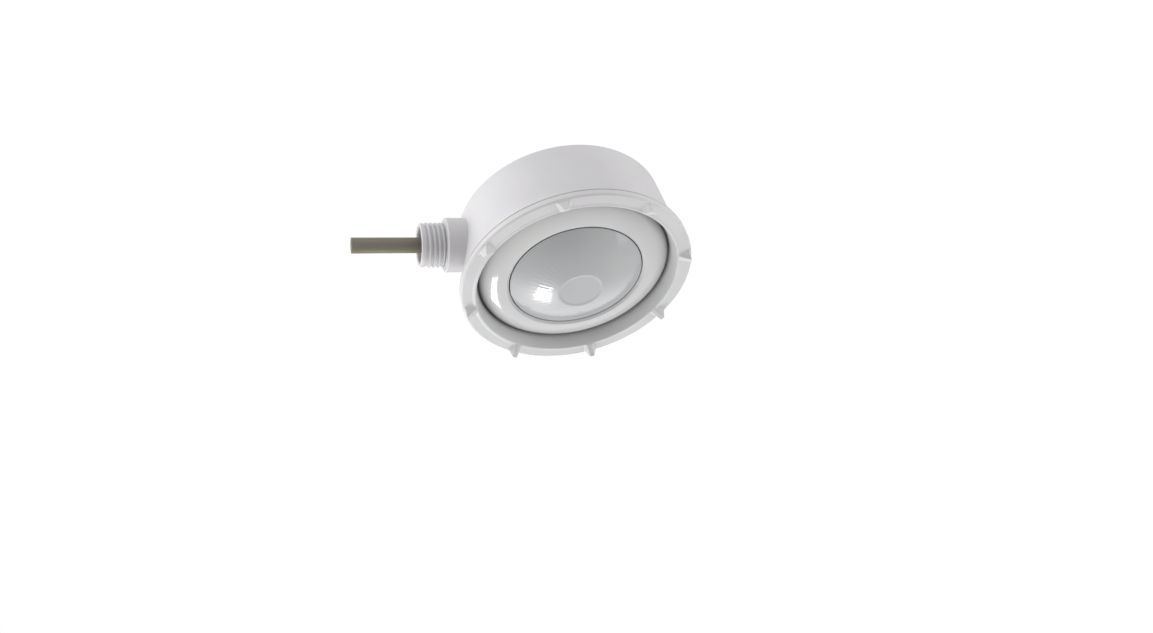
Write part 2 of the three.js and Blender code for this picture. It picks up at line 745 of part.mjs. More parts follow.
function bulbPinch() {
  const halfLength = 4.4;
  const halfThickness = 1.7;
  const flat = new THREE.BoxGeometry(2 * halfThickness, PINCH_FRONT - PINCH_REAR, 2 * halfLength);
  flat.translate(0, -(PINCH_FRONT + PINCH_REAR) / 2, 0);
  const plug = rodForward(BULB_RADIUS - 1.2, PINCH_FRONT - 0.5, ENVELOPE_REAR + 1.5, 0, 0);
  const holes = [-1, 1].map((side) => {
    return rodForward(0.8, PINCH_REAR - 1, PINCH_REAR + 2, 0, (side * PIN_SPACING) / 2);
  });
  return cut(join([flat, plug]), holes);
}

// The coiled filament, its two ends bent back towards the pinch.
function bulbFilament() {
  const coilRadius = 0.9;
  const turns = 4;
  const halfLength = 1.8;
  const legEnd = ENVELOPE_REAR + 2;
  const points = [place(0, legEnd, -halfLength)];
  const perTurn = 6;
  for (let i = 0; i <= turns * perTurn; i += 1) {
    const angle = (2 * Math.PI * i) / perTurn;
    const z = -halfLength + (2 * halfLength * i) / (turns * perTurn);
    points.push(place(coilRadius * Math.sin(angle), FILAMENT_FORWARD - coilRadius * Math.cos(angle), z));
  }
  points.push(place(0, legEnd, halfLength));
  return wire(points, 0.12, 44, 4);
}

function bulbPin(side) {
  return rodForward(0.5, 6.9, PINCH_REAR + 1.6, 0, (side * PIN_SPACING) / 2, 12);
}

// ---------- cable, terminals and strain relief ----------

const BLOCK_MIDDLE = (BLOCK_OUTER_END + BLOCK_INNER_END) / 2;
const TERMINAL_SCREW_RADIUS = 1.6;
const TERMINAL_SPREAD = 3.5; // of the two clamping screws of a pole, from the block's middle

function cableSheath() {
  const body = onNippleAxis([
    [0, CABLE_INNER_END],
    [CABLE_RADIUS, CABLE_INNER_END],
    [CABLE_RADIUS, CABLE_OUTER_END],
    [0, CABLE_OUTER_END],
  ]);
  const bores = [-1, 1].map((side) => {
    const bore = new THREE.CylinderGeometry(CORE_RADIUS + GAP, CORE_RADIUS + GAP, 90, SMALL_SEGMENTS);
    bore.rotateZ(Math.PI / 2);
    return bore.translate(-(CABLE_INNER_END + CABLE_OUTER_END) / 2, -HUB_FORWARD, side * CORE_OFFSET);
  });
  return cut(body, bores);
}

// One insulated core: straight through the sheath, then bent down into its terminal.
function cableCore(side) {
  const z = side * CORE_OFFSET;
  const start = CABLE_OUTER_END - 0.2;
  const bendStart = CABLE_INNER_END + 0.5;
  const straight = new THREE.CylinderGeometry(CORE_RADIUS, CORE_RADIUS, start - bendStart, 8);
  straight.rotateZ(Math.PI / 2);
  straight.translate(-(start + bendStart) / 2, -HUB_FORWARD, z);
  const bend = wire(
    [
      place(bendStart + 1, HUB_FORWARD, z),
      place(CABLE_INNER_END - 0.5, HUB_FORWARD, z),
      place(BLOCK_OUTER_END + 0.8, TERMINAL_FORWARD, side * POLE_OFFSET),
      place(BLOCK_OUTER_END - 3, TERMINAL_FORWARD, side * POLE_OFFSET),
    ],
    CORE_RADIUS,
    9,
  );
  return join([straight, bend]);
}

function terminalBlock() {
  const body = block(BLOCK_INNER_END, BLOCK_OUTER_END, BLOCK_REAR, BLOCK_FRONT, 8.5);
  const groove = block(BLOCK_INNER_END - 1, BLOCK_OUTER_END + 1, BLOCK_FRONT - 3, BLOCK_FRONT + 1, 1.2);
  const wireHole = CORE_RADIUS + GAP;
  const tools = [groove];
  for (const side of [-1, 1]) {
    const z = side * POLE_OFFSET;
    const hole = new THREE.CylinderGeometry(wireHole, wireHole, 20, SMALL_SEGMENTS);
    hole.rotateZ(Math.PI / 2);
    tools.push(hole.translate(-BLOCK_MIDDLE, -TERMINAL_FORWARD, z));
    for (const end of [-1, 1]) {
      const x = -BLOCK_MIDDLE + end * TERMINAL_SPREAD;
      const wellRadius = TERMINAL_SCREW_RADIUS + GAP;
      tools.push(rodForward(wellRadius, TERMINAL_FORWARD, BLOCK_FRONT + 1, x, z, 12));
    }
  }
  tools.push(rodForward(SCREW_HOLE, BLOCK_REAR - 1, BLOCK_FRONT, -BLOCK_MIDDLE, 0));
  tools.push(rodForward(2.3, BLOCK_REAR + 2.5, BLOCK_FRONT, -BLOCK_MIDDLE, 0));
  return cut(body, tools);
}

// A headless clamping screw of the terminal block, with a slot in its front end.
function terminalScrew(side, end) {
  const x = -BLOCK_MIDDLE + end * TERMINAL_SPREAD;
  const z = side * POLE_OFFSET;
  const rear = TERMINAL_FORWARD + CORE_RADIUS + GAP;
  const front = BLOCK_FRONT - 0.6;
  const grub = rodForward(TERMINAL_SCREW_RADIUS, rear, front, x, z, 12);
  const slot = new THREE.BoxGeometry(0.6, 1.6, 4);
  slot.translate(x, -front, z);
  return cut(grub, [slot]);
}

// A lead from the terminal block to the lamp holder.
function lampLead(side) {
  const holderForward = HOLDER_REAR + 3;
  return wire(
    [
      place(BLOCK_INNER_END + 3, TERMINAL_FORWARD, side * POLE_OFFSET),
      place(BLOCK_INNER_END - 1, TERMINAL_FORWARD, side * POLE_OFFSET),
      place(20, holderForward + 1, side * 4),
      place(HOLDER_HALF_LENGTH + 3, holderForward, (side * PIN_SPACING) / 2),
      place(HOLDER_HALF_LENGTH - 2, holderForward, (side * PIN_SPACING) / 2),
    ],
    LEAD_RADIUS,
    16,
  );
}

// The saddle over the cable, with a foot on each side for its screw.
function cableClamp() {
  const inner = CABLE_RADIUS + GAP;
  const outer = inner + 1.8;
  const footEnd = CLAMP_SCREW_OFFSET + 3;
  const footRear = CLAMP_SEAT + GAP;
  const footFront = footRear + 1.8;
  const footAngle = Math.asin((footFront - HUB_FORWARD) / outer);
  const section = new THREE.Shape();
  section.moveTo(footEnd, footRear);
  section.lineTo(footEnd, footFront);
  section.absarc(0, HUB_FORWARD, outer, footAngle, Math.PI - footAngle, false);
  section.lineTo(-footEnd, footFront);
  section.lineTo(-footEnd, footRear);
  section.lineTo(-inner, footRear);
  section.absarc(0, HUB_FORWARD, inner, Math.PI, 0, true);
  section.lineTo(inner, footRear);
  const saddle = new THREE.ExtrudeGeometry(section, {
    depth: CLAMP_WIDTH,
    curveSegments: 8,
    bevelEnabled: false,
  });
  // The section's x becomes z, its height forward, and the extrusion runs along +X.
  const frame = new THREE.Matrix4().makeBasis(
    new THREE.Vector3(0, 0, 1),
    new THREE.Vector3(0, -1, 0),
    new THREE.Vector3(1, 0, 0),
  );
  saddle.applyMatrix4(frame);
  saddle.translate(-(CLAMP_OUTWARD + CLAMP_WIDTH / 2), 0, 0);
  const holes = [-1, 1].map((side) => {
    const z = side * CLAMP_SCREW_OFFSET;
    return rodForward(SCREW_HOLE, footRear - 1, footFront + 1, -CLAMP_OUTWARD, z);
  });
  return cut(saddle, holes);
}

// ---------- compression gland ----------

function glandBush() {
  const bore = CABLE_RADIUS + GAP;
  const outer = GLAND_BORE_RADIUS - 0.4;
  const rear = GLAND_SEAT + GAP;
  const front = NUT_REAR - 1.8;
  return onNippleAxis([
    [bore, rear],
    [outer - 1.5, rear],
    [outer, rear + 2],
    [outer, front],
    [bore, front],
  ]);
}

function glandWasher() {
  const front = NUT_REAR - GAP;
  return onNippleAxis([
    [CABLE_RADIUS + 0.6, front - 1.2],
    [GLAND_BORE_RADIUS - 0.5, front - 1.2],
    [GLAND_BORE_RADIUS - 0.5, front],
    [CABLE_RADIUS + 0.6, front],
  ]);
}

function glandNut() {
  const outer = GLAND_BORE_RADIUS - 0.4;
  const bore = CABLE_RADIUS + 0.6;
  const hexRadius = NUT_SOCKET_FLATS / Math.sqrt(3);
  const body = onNippleAxis([
    [bore, NUT_REAR],
    [outer - 0.4, NUT_REAR],
    [outer, NUT_REAR + 0.4],
    [outer, NUT_END - 0.4],
    [outer - 0.4, NUT_END],
    [bore, NUT_END],
  ]);
  const socket = onNippleAxis(
    [
      [0, NUT_END - NUT_SOCKET_DEPTH],
      [hexRadius, NUT_END - NUT_SOCKET_DEPTH],
      [hexRadius, NUT_END + 1],
      [0, NUT_END + 1],
    ],
    6,
  );
  return cut(body, [socket]);
}

// ---------- the assembled light ----------

const PAN_HEAD = 2.6;
const SMALL_HEAD = 2;

function potGroup() {
  const group = new THREE.Group();
  group.add(piece("housing_pot", housingPot(), finishes.whitePlastic()));
  group.add(piece("pot_gasket", potGasket(), finishes.rubber()));
  group.add(piece("reflector", reflector(), finishes.mirror()));
  const reflectorSeat = REFLECTOR_FLANGE + REFLECTOR_FLANGE_THICKNESS + 0.1;
  REFLECTOR_SCREWS.forEach(([x, z], i) => {
    const shape = screw(reflectorSeat, 7, SCREW_SHANK, 2.2, x, z);
    group.add(piece(`reflector_screw_${i + 1}`, shape, finishes.steel()));
  });
  return group;
}

function lampGroup() {
  const group = new THREE.Group();
  group.add(piece("lamp_holder", lampHolder(), finishes.ceramic()));
  group.add(piece("holder_clip", holderClip(), finishes.steel()));
  [-1, 1].forEach((side, i) => {
    const seat = CLIP_REAR + CLIP_THICKNESS + 0.1;
    const shape = screw(seat, 4.6, SCREW_SHANK, PAN_HEAD, 0, side * HOLDER_SCREW_OFFSET);
    group.add(piece(`holder_screw_${i + 1}`, shape, finishes.steel()));
  });
  return group;
}

function bulbGroup() {
  const group = new THREE.Group();
  group.add(piece("bulb_envelope", bulbEnvelope(), finishes.clearGlass()));
  group.add(piece("bulb_pinch", bulbPinch(), finishes.clearGlass()));
  group.add(piece("bulb_filament", bulbFilament(), finishes.tungsten()));
  group.add(piece("bulb_pin_1", bulbPin(-1), finishes.steel()));
  group.add(piece("bulb_pin_2", bulbPin(1), finishes.steel()));
  return group;
}

function wiringGroup() {
  const group = new THREE.Group();
  group.add(piece("cable_sheath", cableSheath(), finishes.cableRubber()));
  group.add(piece("terminal_block", terminalBlock(), finishes.innerPlastic()));
  group.add(piece("cable_clamp", cableClamp(), finishes.innerPlastic()));
  const blockScrew = screw(BLOCK_REAR + 2.6, 7, SCREW_SHANK, SMALL_HEAD, -BLOCK_MIDDLE, 0);
  group.add(piece("block_screw", blockScrew, finishes.steel()));
  [-1, 1].forEach((side, i) => {
    const clampSeat = CLAMP_SEAT + GAP + 1.9;
    const clampZ = side * CLAMP_SCREW_OFFSET;
    const clampScrew = screw(clampSeat, 8, SCREW_SHANK, 2.2, -CLAMP_OUTWARD, clampZ);
    group.add(piece(`clamp_screw_${i + 1}`, clampScrew, finishes.steel()));
    group.add(piece(`cable_core_${i + 1}`, cableCore(side), finishes.insulation()));
    group.add(piece(`lamp_lead_${i + 1}`, lampLead(side), finishes.silicone()));
    group.add(piece(`terminal_screw_${2 * i + 1}`, terminalScrew(side, -1), finishes.brass()));
    group.add(piece(`terminal_screw_${2 * i + 2}`, terminalScrew(side, 1), finishes.brass()));
  });
  return group;
}

function glandGroup() {
  const group = new THREE.Group();
  group.add(piece("gland_bush", glandBush(), finishes.rubber()));
  group.add(piece("gland_washer", glandWasher(), finishes.innerPlastic()));
  group.add(piece("gland_nut", glandNut(), finishes.blackPlastic()));
  return group;
}

function coverGroup() {
  const group = new THREE.Group();
  group.add(piece("bezel_ring", bezelRing(), finishes.bezelPlastic()));
  group.add(piece("lens", lens(), finishes.frostedGlass()));
  group.add(piece("lens_gasket", lensGasket(), finishes.rubber()));
  group.add(piece("lens_retainer", lensRetainer(), finishes.innerPlastic()));
  BEZEL_SCREWS.forEach(([x, z], i) => {
    const shape = screw(RETAINER_REAR - 0.1, 4.2, SCREW_SHANK, 2.2, x, z, -1);
    group.add(piece(`retainer_screw_${i + 1}`, shape, finishes.steel()));
  });
  return group;
}

function ringGroup() {
  const group = new THREE.Group();
  group.add(piece("trim_ring", trimRing(), finishes.whitePlastic()));
  group.add(piece("slip_ring", slipRing(), finishes.innerPlastic()));
  return group;
}

const poolLight = new THREE.Group();
poolLight.name = "pool_light";
poolLight.add(potGroup());
poolLight.add(lampGroup());
poolLight.add(bulbGroup());
poolLight.add(wiringGroup());
poolLight.add(glandGroup());
poolLight.add(coverGroup());
poolLight.add(ringGroup());

export default poolLight;
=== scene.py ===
"""Looks of the underwater pool light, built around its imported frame.

Named sizes are millimetres; every piece is placed in the frame's metres. The lamp's axis lies
along Y and the light shines towards -Y. "Forward" is the distance from the pot's back face
towards the front, which is -y. "Outward" is the distance from the lamp's axis along the
nipple, which is -x. A corner of a section is (radius, height) or (radius, height, fillet).
"""

import json
import math

import bmesh
import bpy
from mathutils import Matrix, Vector

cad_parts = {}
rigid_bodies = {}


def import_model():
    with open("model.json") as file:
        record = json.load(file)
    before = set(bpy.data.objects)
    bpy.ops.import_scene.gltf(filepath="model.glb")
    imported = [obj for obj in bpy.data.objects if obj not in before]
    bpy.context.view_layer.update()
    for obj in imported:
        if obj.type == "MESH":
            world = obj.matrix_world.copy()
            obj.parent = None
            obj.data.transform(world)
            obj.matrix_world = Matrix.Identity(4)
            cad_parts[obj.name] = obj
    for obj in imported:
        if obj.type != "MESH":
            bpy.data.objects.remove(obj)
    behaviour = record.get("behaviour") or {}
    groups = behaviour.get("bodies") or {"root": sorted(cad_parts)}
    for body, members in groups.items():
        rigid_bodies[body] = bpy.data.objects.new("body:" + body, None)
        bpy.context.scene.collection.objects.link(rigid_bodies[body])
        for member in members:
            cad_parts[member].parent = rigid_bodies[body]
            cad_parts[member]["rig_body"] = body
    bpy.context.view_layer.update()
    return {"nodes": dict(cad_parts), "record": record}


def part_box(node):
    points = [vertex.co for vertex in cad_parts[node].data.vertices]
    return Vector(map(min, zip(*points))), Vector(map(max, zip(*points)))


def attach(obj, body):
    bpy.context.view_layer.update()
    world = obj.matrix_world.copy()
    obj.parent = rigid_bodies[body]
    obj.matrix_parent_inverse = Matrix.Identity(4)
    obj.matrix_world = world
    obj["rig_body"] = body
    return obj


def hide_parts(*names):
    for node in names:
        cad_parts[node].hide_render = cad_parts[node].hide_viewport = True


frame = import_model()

MM = 0.001

# ---------- sizes ----------


def size_of(node):
    """Lowest and highest corner of a frame node, in millimetres."""
    low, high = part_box(node)
    return low / MM, high / MM


def even_angles(count):
    return [2 * math.pi * i / count for i in range(count)]


def circle_places(radius, count, first_degrees):
    """Evenly spaced (x, z) places on a circle round the lamp's axis."""
    turns = [math.radians(first_degrees) + turn for turn in even_angles(count)]
    return [(radius * math.cos(turn), radius * math.sin(turn)) for turn in turns]


ring_low, ring_high = size_of("trim_ring")
pot_low = size_of("housing_pot")[0]
bezel_low, bezel_high = size_of("bezel_ring")
lens_high = size_of("lens")[1]
sheath_low, sheath_high = size_of("cable_sheath")
nut_low, nut_high = size_of("gland_nut")

SIDES = (-1, 1)
SCREW_HOLE = 1.5
# Clearance between pieces that lie against each other inside the pot.
GAP = 0.3

# Trim ring.
RING_RADIUS = ring_high.x
RING_REAR = 43.5
RING_FACE = 49.0
RING_BEVEL = 0.9
RING_INNER = 61.2
RING_LIP = 0.3
SKIRT_END = -ring_high.y
SKIRT_INNER = 58.9
SKIRT_OUTER = 62.4
CHANNEL_OUTER = 67.6
RING_PITCH = 3.0
LUG_COUNT = 8
LUG_PHASE = math.radians(20)
LUG_HALF_TIP = 1.45
LUG_HALF_BASE = 3.4
LUG_HALF_BASE_OUTER = 4.8
LUG_INNER = 61.45
LUG_INNER_HEIGHT = 0.7
LUG_OUTER = 68.75

# Pot, hub and nipple.
POT_BACK = 64.5
POT_RADIUS = 66.7
POT_FRONT = -pot_low.y
POT_INNER = 61.0
POT_FLOOR = 3.5
POT_MOUTH = 63.6
LEDGE = 32.0
LEDGE_RADIUS = 57.5
BEAD_RADIUS = 67.3
BEAD_REAR = 41.7
BEAD_FRONT = 43.1
HUB_FORWARD = -(nut_low.y + nut_high.y) / 2
HUB_RADIUS = 16.0
HUB_SHOULDER = 75.7
NIPPLE_END = -pot_low.x
NIPPLE_NECK = 13.3
NIPPLE_ROOT = 11.9
NIPPLE_CREST = 13.2
NIPPLE_COLLAR = 12.75
NIPPLE_PITCH = 2.7
GLAND_BORE = 10.4
GLAND_SEAT = 68.0
GLAND_PITCH = 1.5
PASSAGE = 6.0

# Bezel and lens.
BEZEL_RADIUS = 58.3
BEZEL_FOOT = 37.4
BEZEL_CROWN = -bezel_low.y
BEZEL_FLANGE_RADIUS = bezel_high.x
BEZEL_FLANGE_REAR = -bezel_high.y
BEZEL_FLANGE_FRONT = 36.4
WINDOW = 40.8
SCREW_CIRCLE = 50.0
BEZEL_SCREWS = circle_places(SCREW_CIRCLE, 4, 45)
LENS_RADIUS = 40.3
LENS_EDGE = 44.0
LENS_APEX = 56.6
LENS_DISC = LENS_APEX - 1.62
LENS_DISC_RADIUS = 12.0
LENS_FLANGE_RADIUS = lens_high.x
LENS_FLANGE_REAR = -lens_high.y
LENS_FLANGE_FRONT = 41.4
LENS_THICKNESS = 3.0
FLUTES = 54

# Reflector, holder and capsule.
REFLECTOR_RIM_RADIUS = 40.5
REFLECTOR_RIM = 33.5
REFLECTOR_NECK_RADIUS = 8.0
REFLECTOR_NECK = 14.2
REFLECTOR_FLANGE = 30.6
REFLECTOR_FLANGE_RADIUS = 56.8
REFLECTOR_SCREWS = circle_places(SCREW_CIRCLE, 3, 90)
HOLDER_REAR = 6.4
HOLDER_FRONT = 13.4
HOLDER_BOSS = 5.0
HOLDER_SCREWS = [(0, side * 15.0) for side in SIDES]
PIN_SPACING = 6.35
BULB_RADIUS = 4.7
BULB_TIP = 38.0
BULB_REAR = 21.0
FILAMENT_FORWARD = 31.0

# Cable, terminals and gland.
CABLE_RADIUS = (sheath_high.z - sheath_low.z) / 2
CABLE_OUTER_END = -sheath_low.x
CABLE_INNER_END = -sheath_high.x
CORE_RADIUS = 1.4
CORE_OFFSET = 2.1
POLE_OFFSET = 4.5
TERMINAL_FORWARD = 13.5
BLOCK_OUTER_END = 45.0
BLOCK_INNER_END = 31.0
BLOCK_REAR = 9.0
BLOCK_FRONT = 19.5
CLAMP_OUTWARD = 56.0
CLAMP_HALF_WIDTH = 3.0
CLAMP_SCREW_OFFSET = 8.8
CLAMP_SCREWS = [(-CLAMP_OUTWARD, side * CLAMP_SCREW_OFFSET) for side in SIDES]
CLAMP_SEAT = 16.4
NUT_REAR = -nut_high.x
NUT_END = -nut_low.x
NUT_RADIUS = (nut_high.z - nut_low.z) / 2

# ---------- sections ----------


def rounded(corners, closed=True, steps=5):
    """Outline points of a section's corners, with each fillet drawn as a curve."""
    outline = []
    last = len(corners) - 1
    for i, corner in enumerate(corners):
        here = Vector(corner[:2])
        fillet = corner[2] if len(corner) > 2 else 0
        if fillet == 0 or (not closed and i in (0, last)):
            outline.append(here)
            continue
        before = Vector(corners[i - 1][:2]) - here
        after = Vector(corners[0 if i == last else i + 1][:2]) - here
        reach = fillet / math.tan(before.angle(after) / 2)
        reach = min(reach, 0.48 * before.length, 0.48 * after.length)
        start = here + before.normalized() * reach
        end = here + after.normalized() * reach
        for k in range(steps + 1):
            share = k / steps
            outline.append(start.lerp(here, share).lerp(here.lerp(end, share), share))
    return outline


def band(inner, outer, rear, front, *fillets):
    """Section of a plain ring, with the fillets of its four corners."""
    places = ((inner, rear), (outer, rear), (outer, front), (inner, front))
    return rounded([(*place, fillet) for place, fillet in zip(places, fillets)])


def refined(outline, spacing, where, closed=True):
    """The outline with its edges cut to at most spacing long where where(middle) is true."""
    points = []
    count = len(outline)
    for i, here in enumerate(outline):
        points.append(here)
        if i == count - 1 and not closed:
            break
        after = outline[(i + 1) % count]
        if where(here.lerp(after, 0.5)):
            cuts = math.ceil((after - here).length / spacing)
            points += [here.lerp(after, k / cuts) for k in range(1, cuts)]
    return points


def arc(centre, half_axes, start, end, steps):
    """Points of an elliptic arc between two angles in degrees."""
    points = []
    for i in range(steps + 1):
        angle = math.radians(start + (end - start) * i / steps)
        x = centre[0] + half_axes[0] * math.cos(angle)
        y = centre[1] + half_axes[1] * math.sin(angle)
        points.append((max(x, 0.0), y))
    return points


def smoothstep(low, high, value):
    share = min(1.0, max(0.0, (value - low) / (high - low)))
    return share * share * (3 - 2 * share)


def soft_least(a, b, width):
    """The smaller of two values, with the change from one to the other rounded."""
    share = min(1.0, max(0.0, 0.5 + 0.5 * (b - a) / width))
    return b + (a - b) * share - width * share * (1 - share)


def thread(height, turns, start, end, run, crest=0.12, foot=0.36):
    """Height share of a round-crested thread that runs in and out at its ends.

    A crest lies where turns is a whole number; crest and foot are half widths in turns.
    """
    away = abs((turns + 0.5) % 1.0 - 0.5)
    share = smoothstep(start, start + run, height) * (1 - smoothstep(end - run, end, height))
    return share * (1 - smoothstep(crest, foot, away))


def on_lamp_axis(radius, forward, angle):
    return Vector((radius * math.cos(angle), -forward, radius * math.sin(angle))) * MM


def on_nipple_axis(radius, outward, angle):
    across = radius * math.cos(angle) - HUB_FORWARD
    return Vector((-outward, across, radius * math.sin(angle))) * MM


def at(outward, forward, z):
    """A place in metres from its outward and forward positions and its z."""
    return Vector((-outward, -forward, z)) * MM


# ---------- meshes ----------


def new_object(name, mesh):
    piece = bpy.data.objects.new(name, mesh)
    bpy.context.scene.collection.objects.link(piece)
    return piece


def from_bmesh(name, work):
    mesh = bpy.data.meshes.new(name)
    work.to_mesh(mesh)
    work.free()
    return new_object(name, mesh)


def moved(piece, x=0.0, y=0.0, z=0.0):
    """Shifts a piece's mesh by millimetres."""
    piece.data.transform(Matrix.Translation(Vector((x, y, z)) * MM))
    return piece


def finish_mesh(piece, sharp=35):
    """Turns the faces out and shades them smooth, with corners kept sharp and flats flat."""
    work = bmesh.new()
    work.from_mesh(piece.data)
    bmesh.ops.remove_doubles(work, verts=work.verts, dist=1e-7)
    bmesh.ops.recalc_face_normals(work, faces=work.faces)
    work.to_mesh(piece.data)
    work.free()
    piece.data.shade_smooth()
    piece.data.set_sharp_from_angle(angle=math.radians(sharp))
    if "crisp" not in piece.modifiers:
        crisp = piece.modifiers.new("crisp", "WEIGHTED_NORMAL")
        crisp.keep_sharp = True
    return piece


def turned(name, outline, segments=192, to_point=on_lamp_axis, closed=True, shape=None, angles=None):
    """A piece turned from an outline; shape(radius, height, angle) may move its points."""
    angles = angles or even_angles(segments)
    vertices = []
    rows = []
    for radius, height in outline:
        start = len(vertices)
        if radius < 1e-6:
            rows.append([start] * len(angles))
            vertices.append(to_point(0, height, 0))
            continue
        rows.append(list(range(start, start + len(angles))))
        for angle in angles:
            r, h = shape(radius, height, angle) if shape else (radius, height)
            vertices.append(to_point(r, h, angle))
    pairs = list(zip(rows, rows[1:]))
    if closed:
        pairs.append((rows[-1], rows[0]))
    faces = []
    for a, b in pairs:
        for i in range(len(angles)):
            j = (i + 1) % len(angles)
            corners = list(dict.fromkeys((a[i], a[j], b[j], b[i])))
            if len(corners) > 2:
                faces.append(corners)
    mesh = bpy.data.meshes.new(name)
    mesh.from_pydata(vertices, [], faces)
    return finish_mesh(new_object(name, mesh))


def rod(name, radius, rear, front, x, z, fillet=0.15, segments=48):
    """A rod parallel to the lamp's axis, with rounded edges."""
    outline = rounded([(0, rear), (radius, rear, fillet), (radius, front, fillet), (0, front)], False)
    return moved(turned(name, outline, segments, closed=False), x, 0, z)


def cross_rod(name, radius, inner_end, outer_end, forward, z, segments=48):
    """A rod parallel to the nipple's axis."""
    outline = [(0, inner_end), (radius, inner_end), (radius, outer_end), (0, outer_end)]
    return moved(turned(name, outline, segments, on_nipple_axis, closed=False), 0, HUB_FORWARD - forward, z)


def screw_holes(places, rear, front):
    return [rod("hole", SCREW_HOLE, rear, front, x, z, 0) for x, z in places]


def prism(name, outline, depth, frame_of):
    """A closed outline given depth; frame_of(x, y, along) places its points."""
    work = bmesh.new()
    near = [work.verts.new(frame_of(x, y, 0)) for x, y in outline]
    far = [work.verts.new(frame_of(x, y, depth)) for x, y in outline]
    work.faces.new(near)
    work.faces.new(far[::-1])
    for i in range(len(outline)):
        j = (i + 1) % len(outline)
        work.faces.new((near[i], far[i], far[j], near[j]))
    return finish_mesh(from_bmesh(name, work))


def block(name, x_ends, forward_ends, half_z, fillet=0.5):
    """A block with rounded edges, symmetric about z = 0."""
    low = Vector((x_ends[0], -forward_ends[1], -half_z)) * MM
    high = Vector((x_ends[1], -forward_ends[0], half_z)) * MM
    work = bmesh.new()
    bmesh.ops.create_cube(work, size=1)
    scale = Matrix.Diagonal((*(high - low), 1))
    bmesh.ops.transform(work, matrix=Matrix.Translation((low + high) / 2) @ scale, verts=work.verts)
    if fillet:
        bmesh.ops.bevel(work, geom=work.edges, offset=fillet * MM, segments=4, profile=0.5, affect="EDGES")
    return finish_mesh(from_bmesh(name, work))


def evaluated(piece):
    """Replaces a piece's mesh by the result of its modifiers."""
    graph = bpy.context.evaluated_depsgraph_get()
    mesh = bpy.data.meshes.new_from_object(piece.evaluated_get(graph))
    piece.modifiers.clear()
    old = piece.data
    piece.data = mesh
    mesh.name = piece.name
    bpy.data.meshes.remove(old)


def boolean(piece, tools, operation):
    """Cuts the tools out of the piece, or joins them to it, and removes the tools."""
    piece.modifiers.clear()
    for tool in tools:
        tool.modifiers.clear()
        step = piece.modifiers.new("boolean", "BOOLEAN")
        step.solver = "EXACT"
        step.operation = operation
        step.object = tool
    evaluated(piece)
    for tool in tools:
        bpy.data.objects.remove(tool)
    return finish_mesh(piece)


def cut(piece, tools):
    return boolean(piece, tools, "DIFFERENCE")


def join(piece, tools):
    return boolean(piece, tools, "UNION")


def softened(piece, width, segments=3):
    """Rounds a piece's sharp edges."""
    piece.modifiers.clear()
    bevel = piece.modifiers.new("bevel", "BEVEL")
    bevel.width = width * MM
    bevel.segments = segments
    bevel.limit_method = "ANGLE"
    bevel.angle_limit = math.radians(40)
    bevel.use_clamp_overlap = True
    evaluated(piece)
    return finish_mesh(piece)


def wire(name, points, radius, sides=20, smooth=12):
    """A round wire drawn along a smooth curve through points in metres."""
    curve = bpy.data.curves.new(name, "CURVE")
    curve.dimensions = "3D"
    curve.bevel_depth = radius * MM
    curve.bevel_resolution = sides // 4
    curve.resolution_u = smooth
    curve.use_fill_caps = True
    spline = curve.splines.new("BEZIER")
    spline.bezier_points.add(len(points) - 1)
    for knot, point in zip(spline.bezier_points, points):
        knot.co = point
        knot.handle_left_type = "AUTO"
        knot.handle_right_type = "AUTO"
    source = new_object(name, curve)
    graph = bpy.context.evaluated_depsgraph_get()
    mesh = bpy.data.meshes.new_from_object(source.evaluated_get(graph))
    bpy.data.objects.remove(source)
    return finish_mesh(new_object(name, mesh), sharp=60)


def gathered(name, pieces):
    """Several pieces as one object that holds them as separate closed bodies."""
    work = bmesh.new()
    for piece in pieces:
        work.from_mesh(piece.data)
        bpy.data.objects.remove(piece)
    return finish_mesh(from_bmesh(name, work))


# ---------- finishes ----------


def add_node(tree, kind, inputs=None, **settings):
    """A shader node whose inputs are set to values or linked to sockets."""
    made = tree.nodes.new(kind)
    for key, value in settings.items():
        setattr(made, key, value)
    for key, value in (inputs or {}).items():
        if isinstance(value, bpy.types.NodeSocket):
            tree.links.new(value, made.inputs[key])
        else:
            made.inputs[key].default_value = value
    return made


def tone(red, green, blue):
    """A linear colour from display values of 0 to 255."""
    def linear(value):
        share = value / 255
        return share / 12.92 if share <= 0.04045 else ((share + 0.055) / 1.055) ** 2.4
    return (linear(red), linear(green), linear(blue), 1.0)


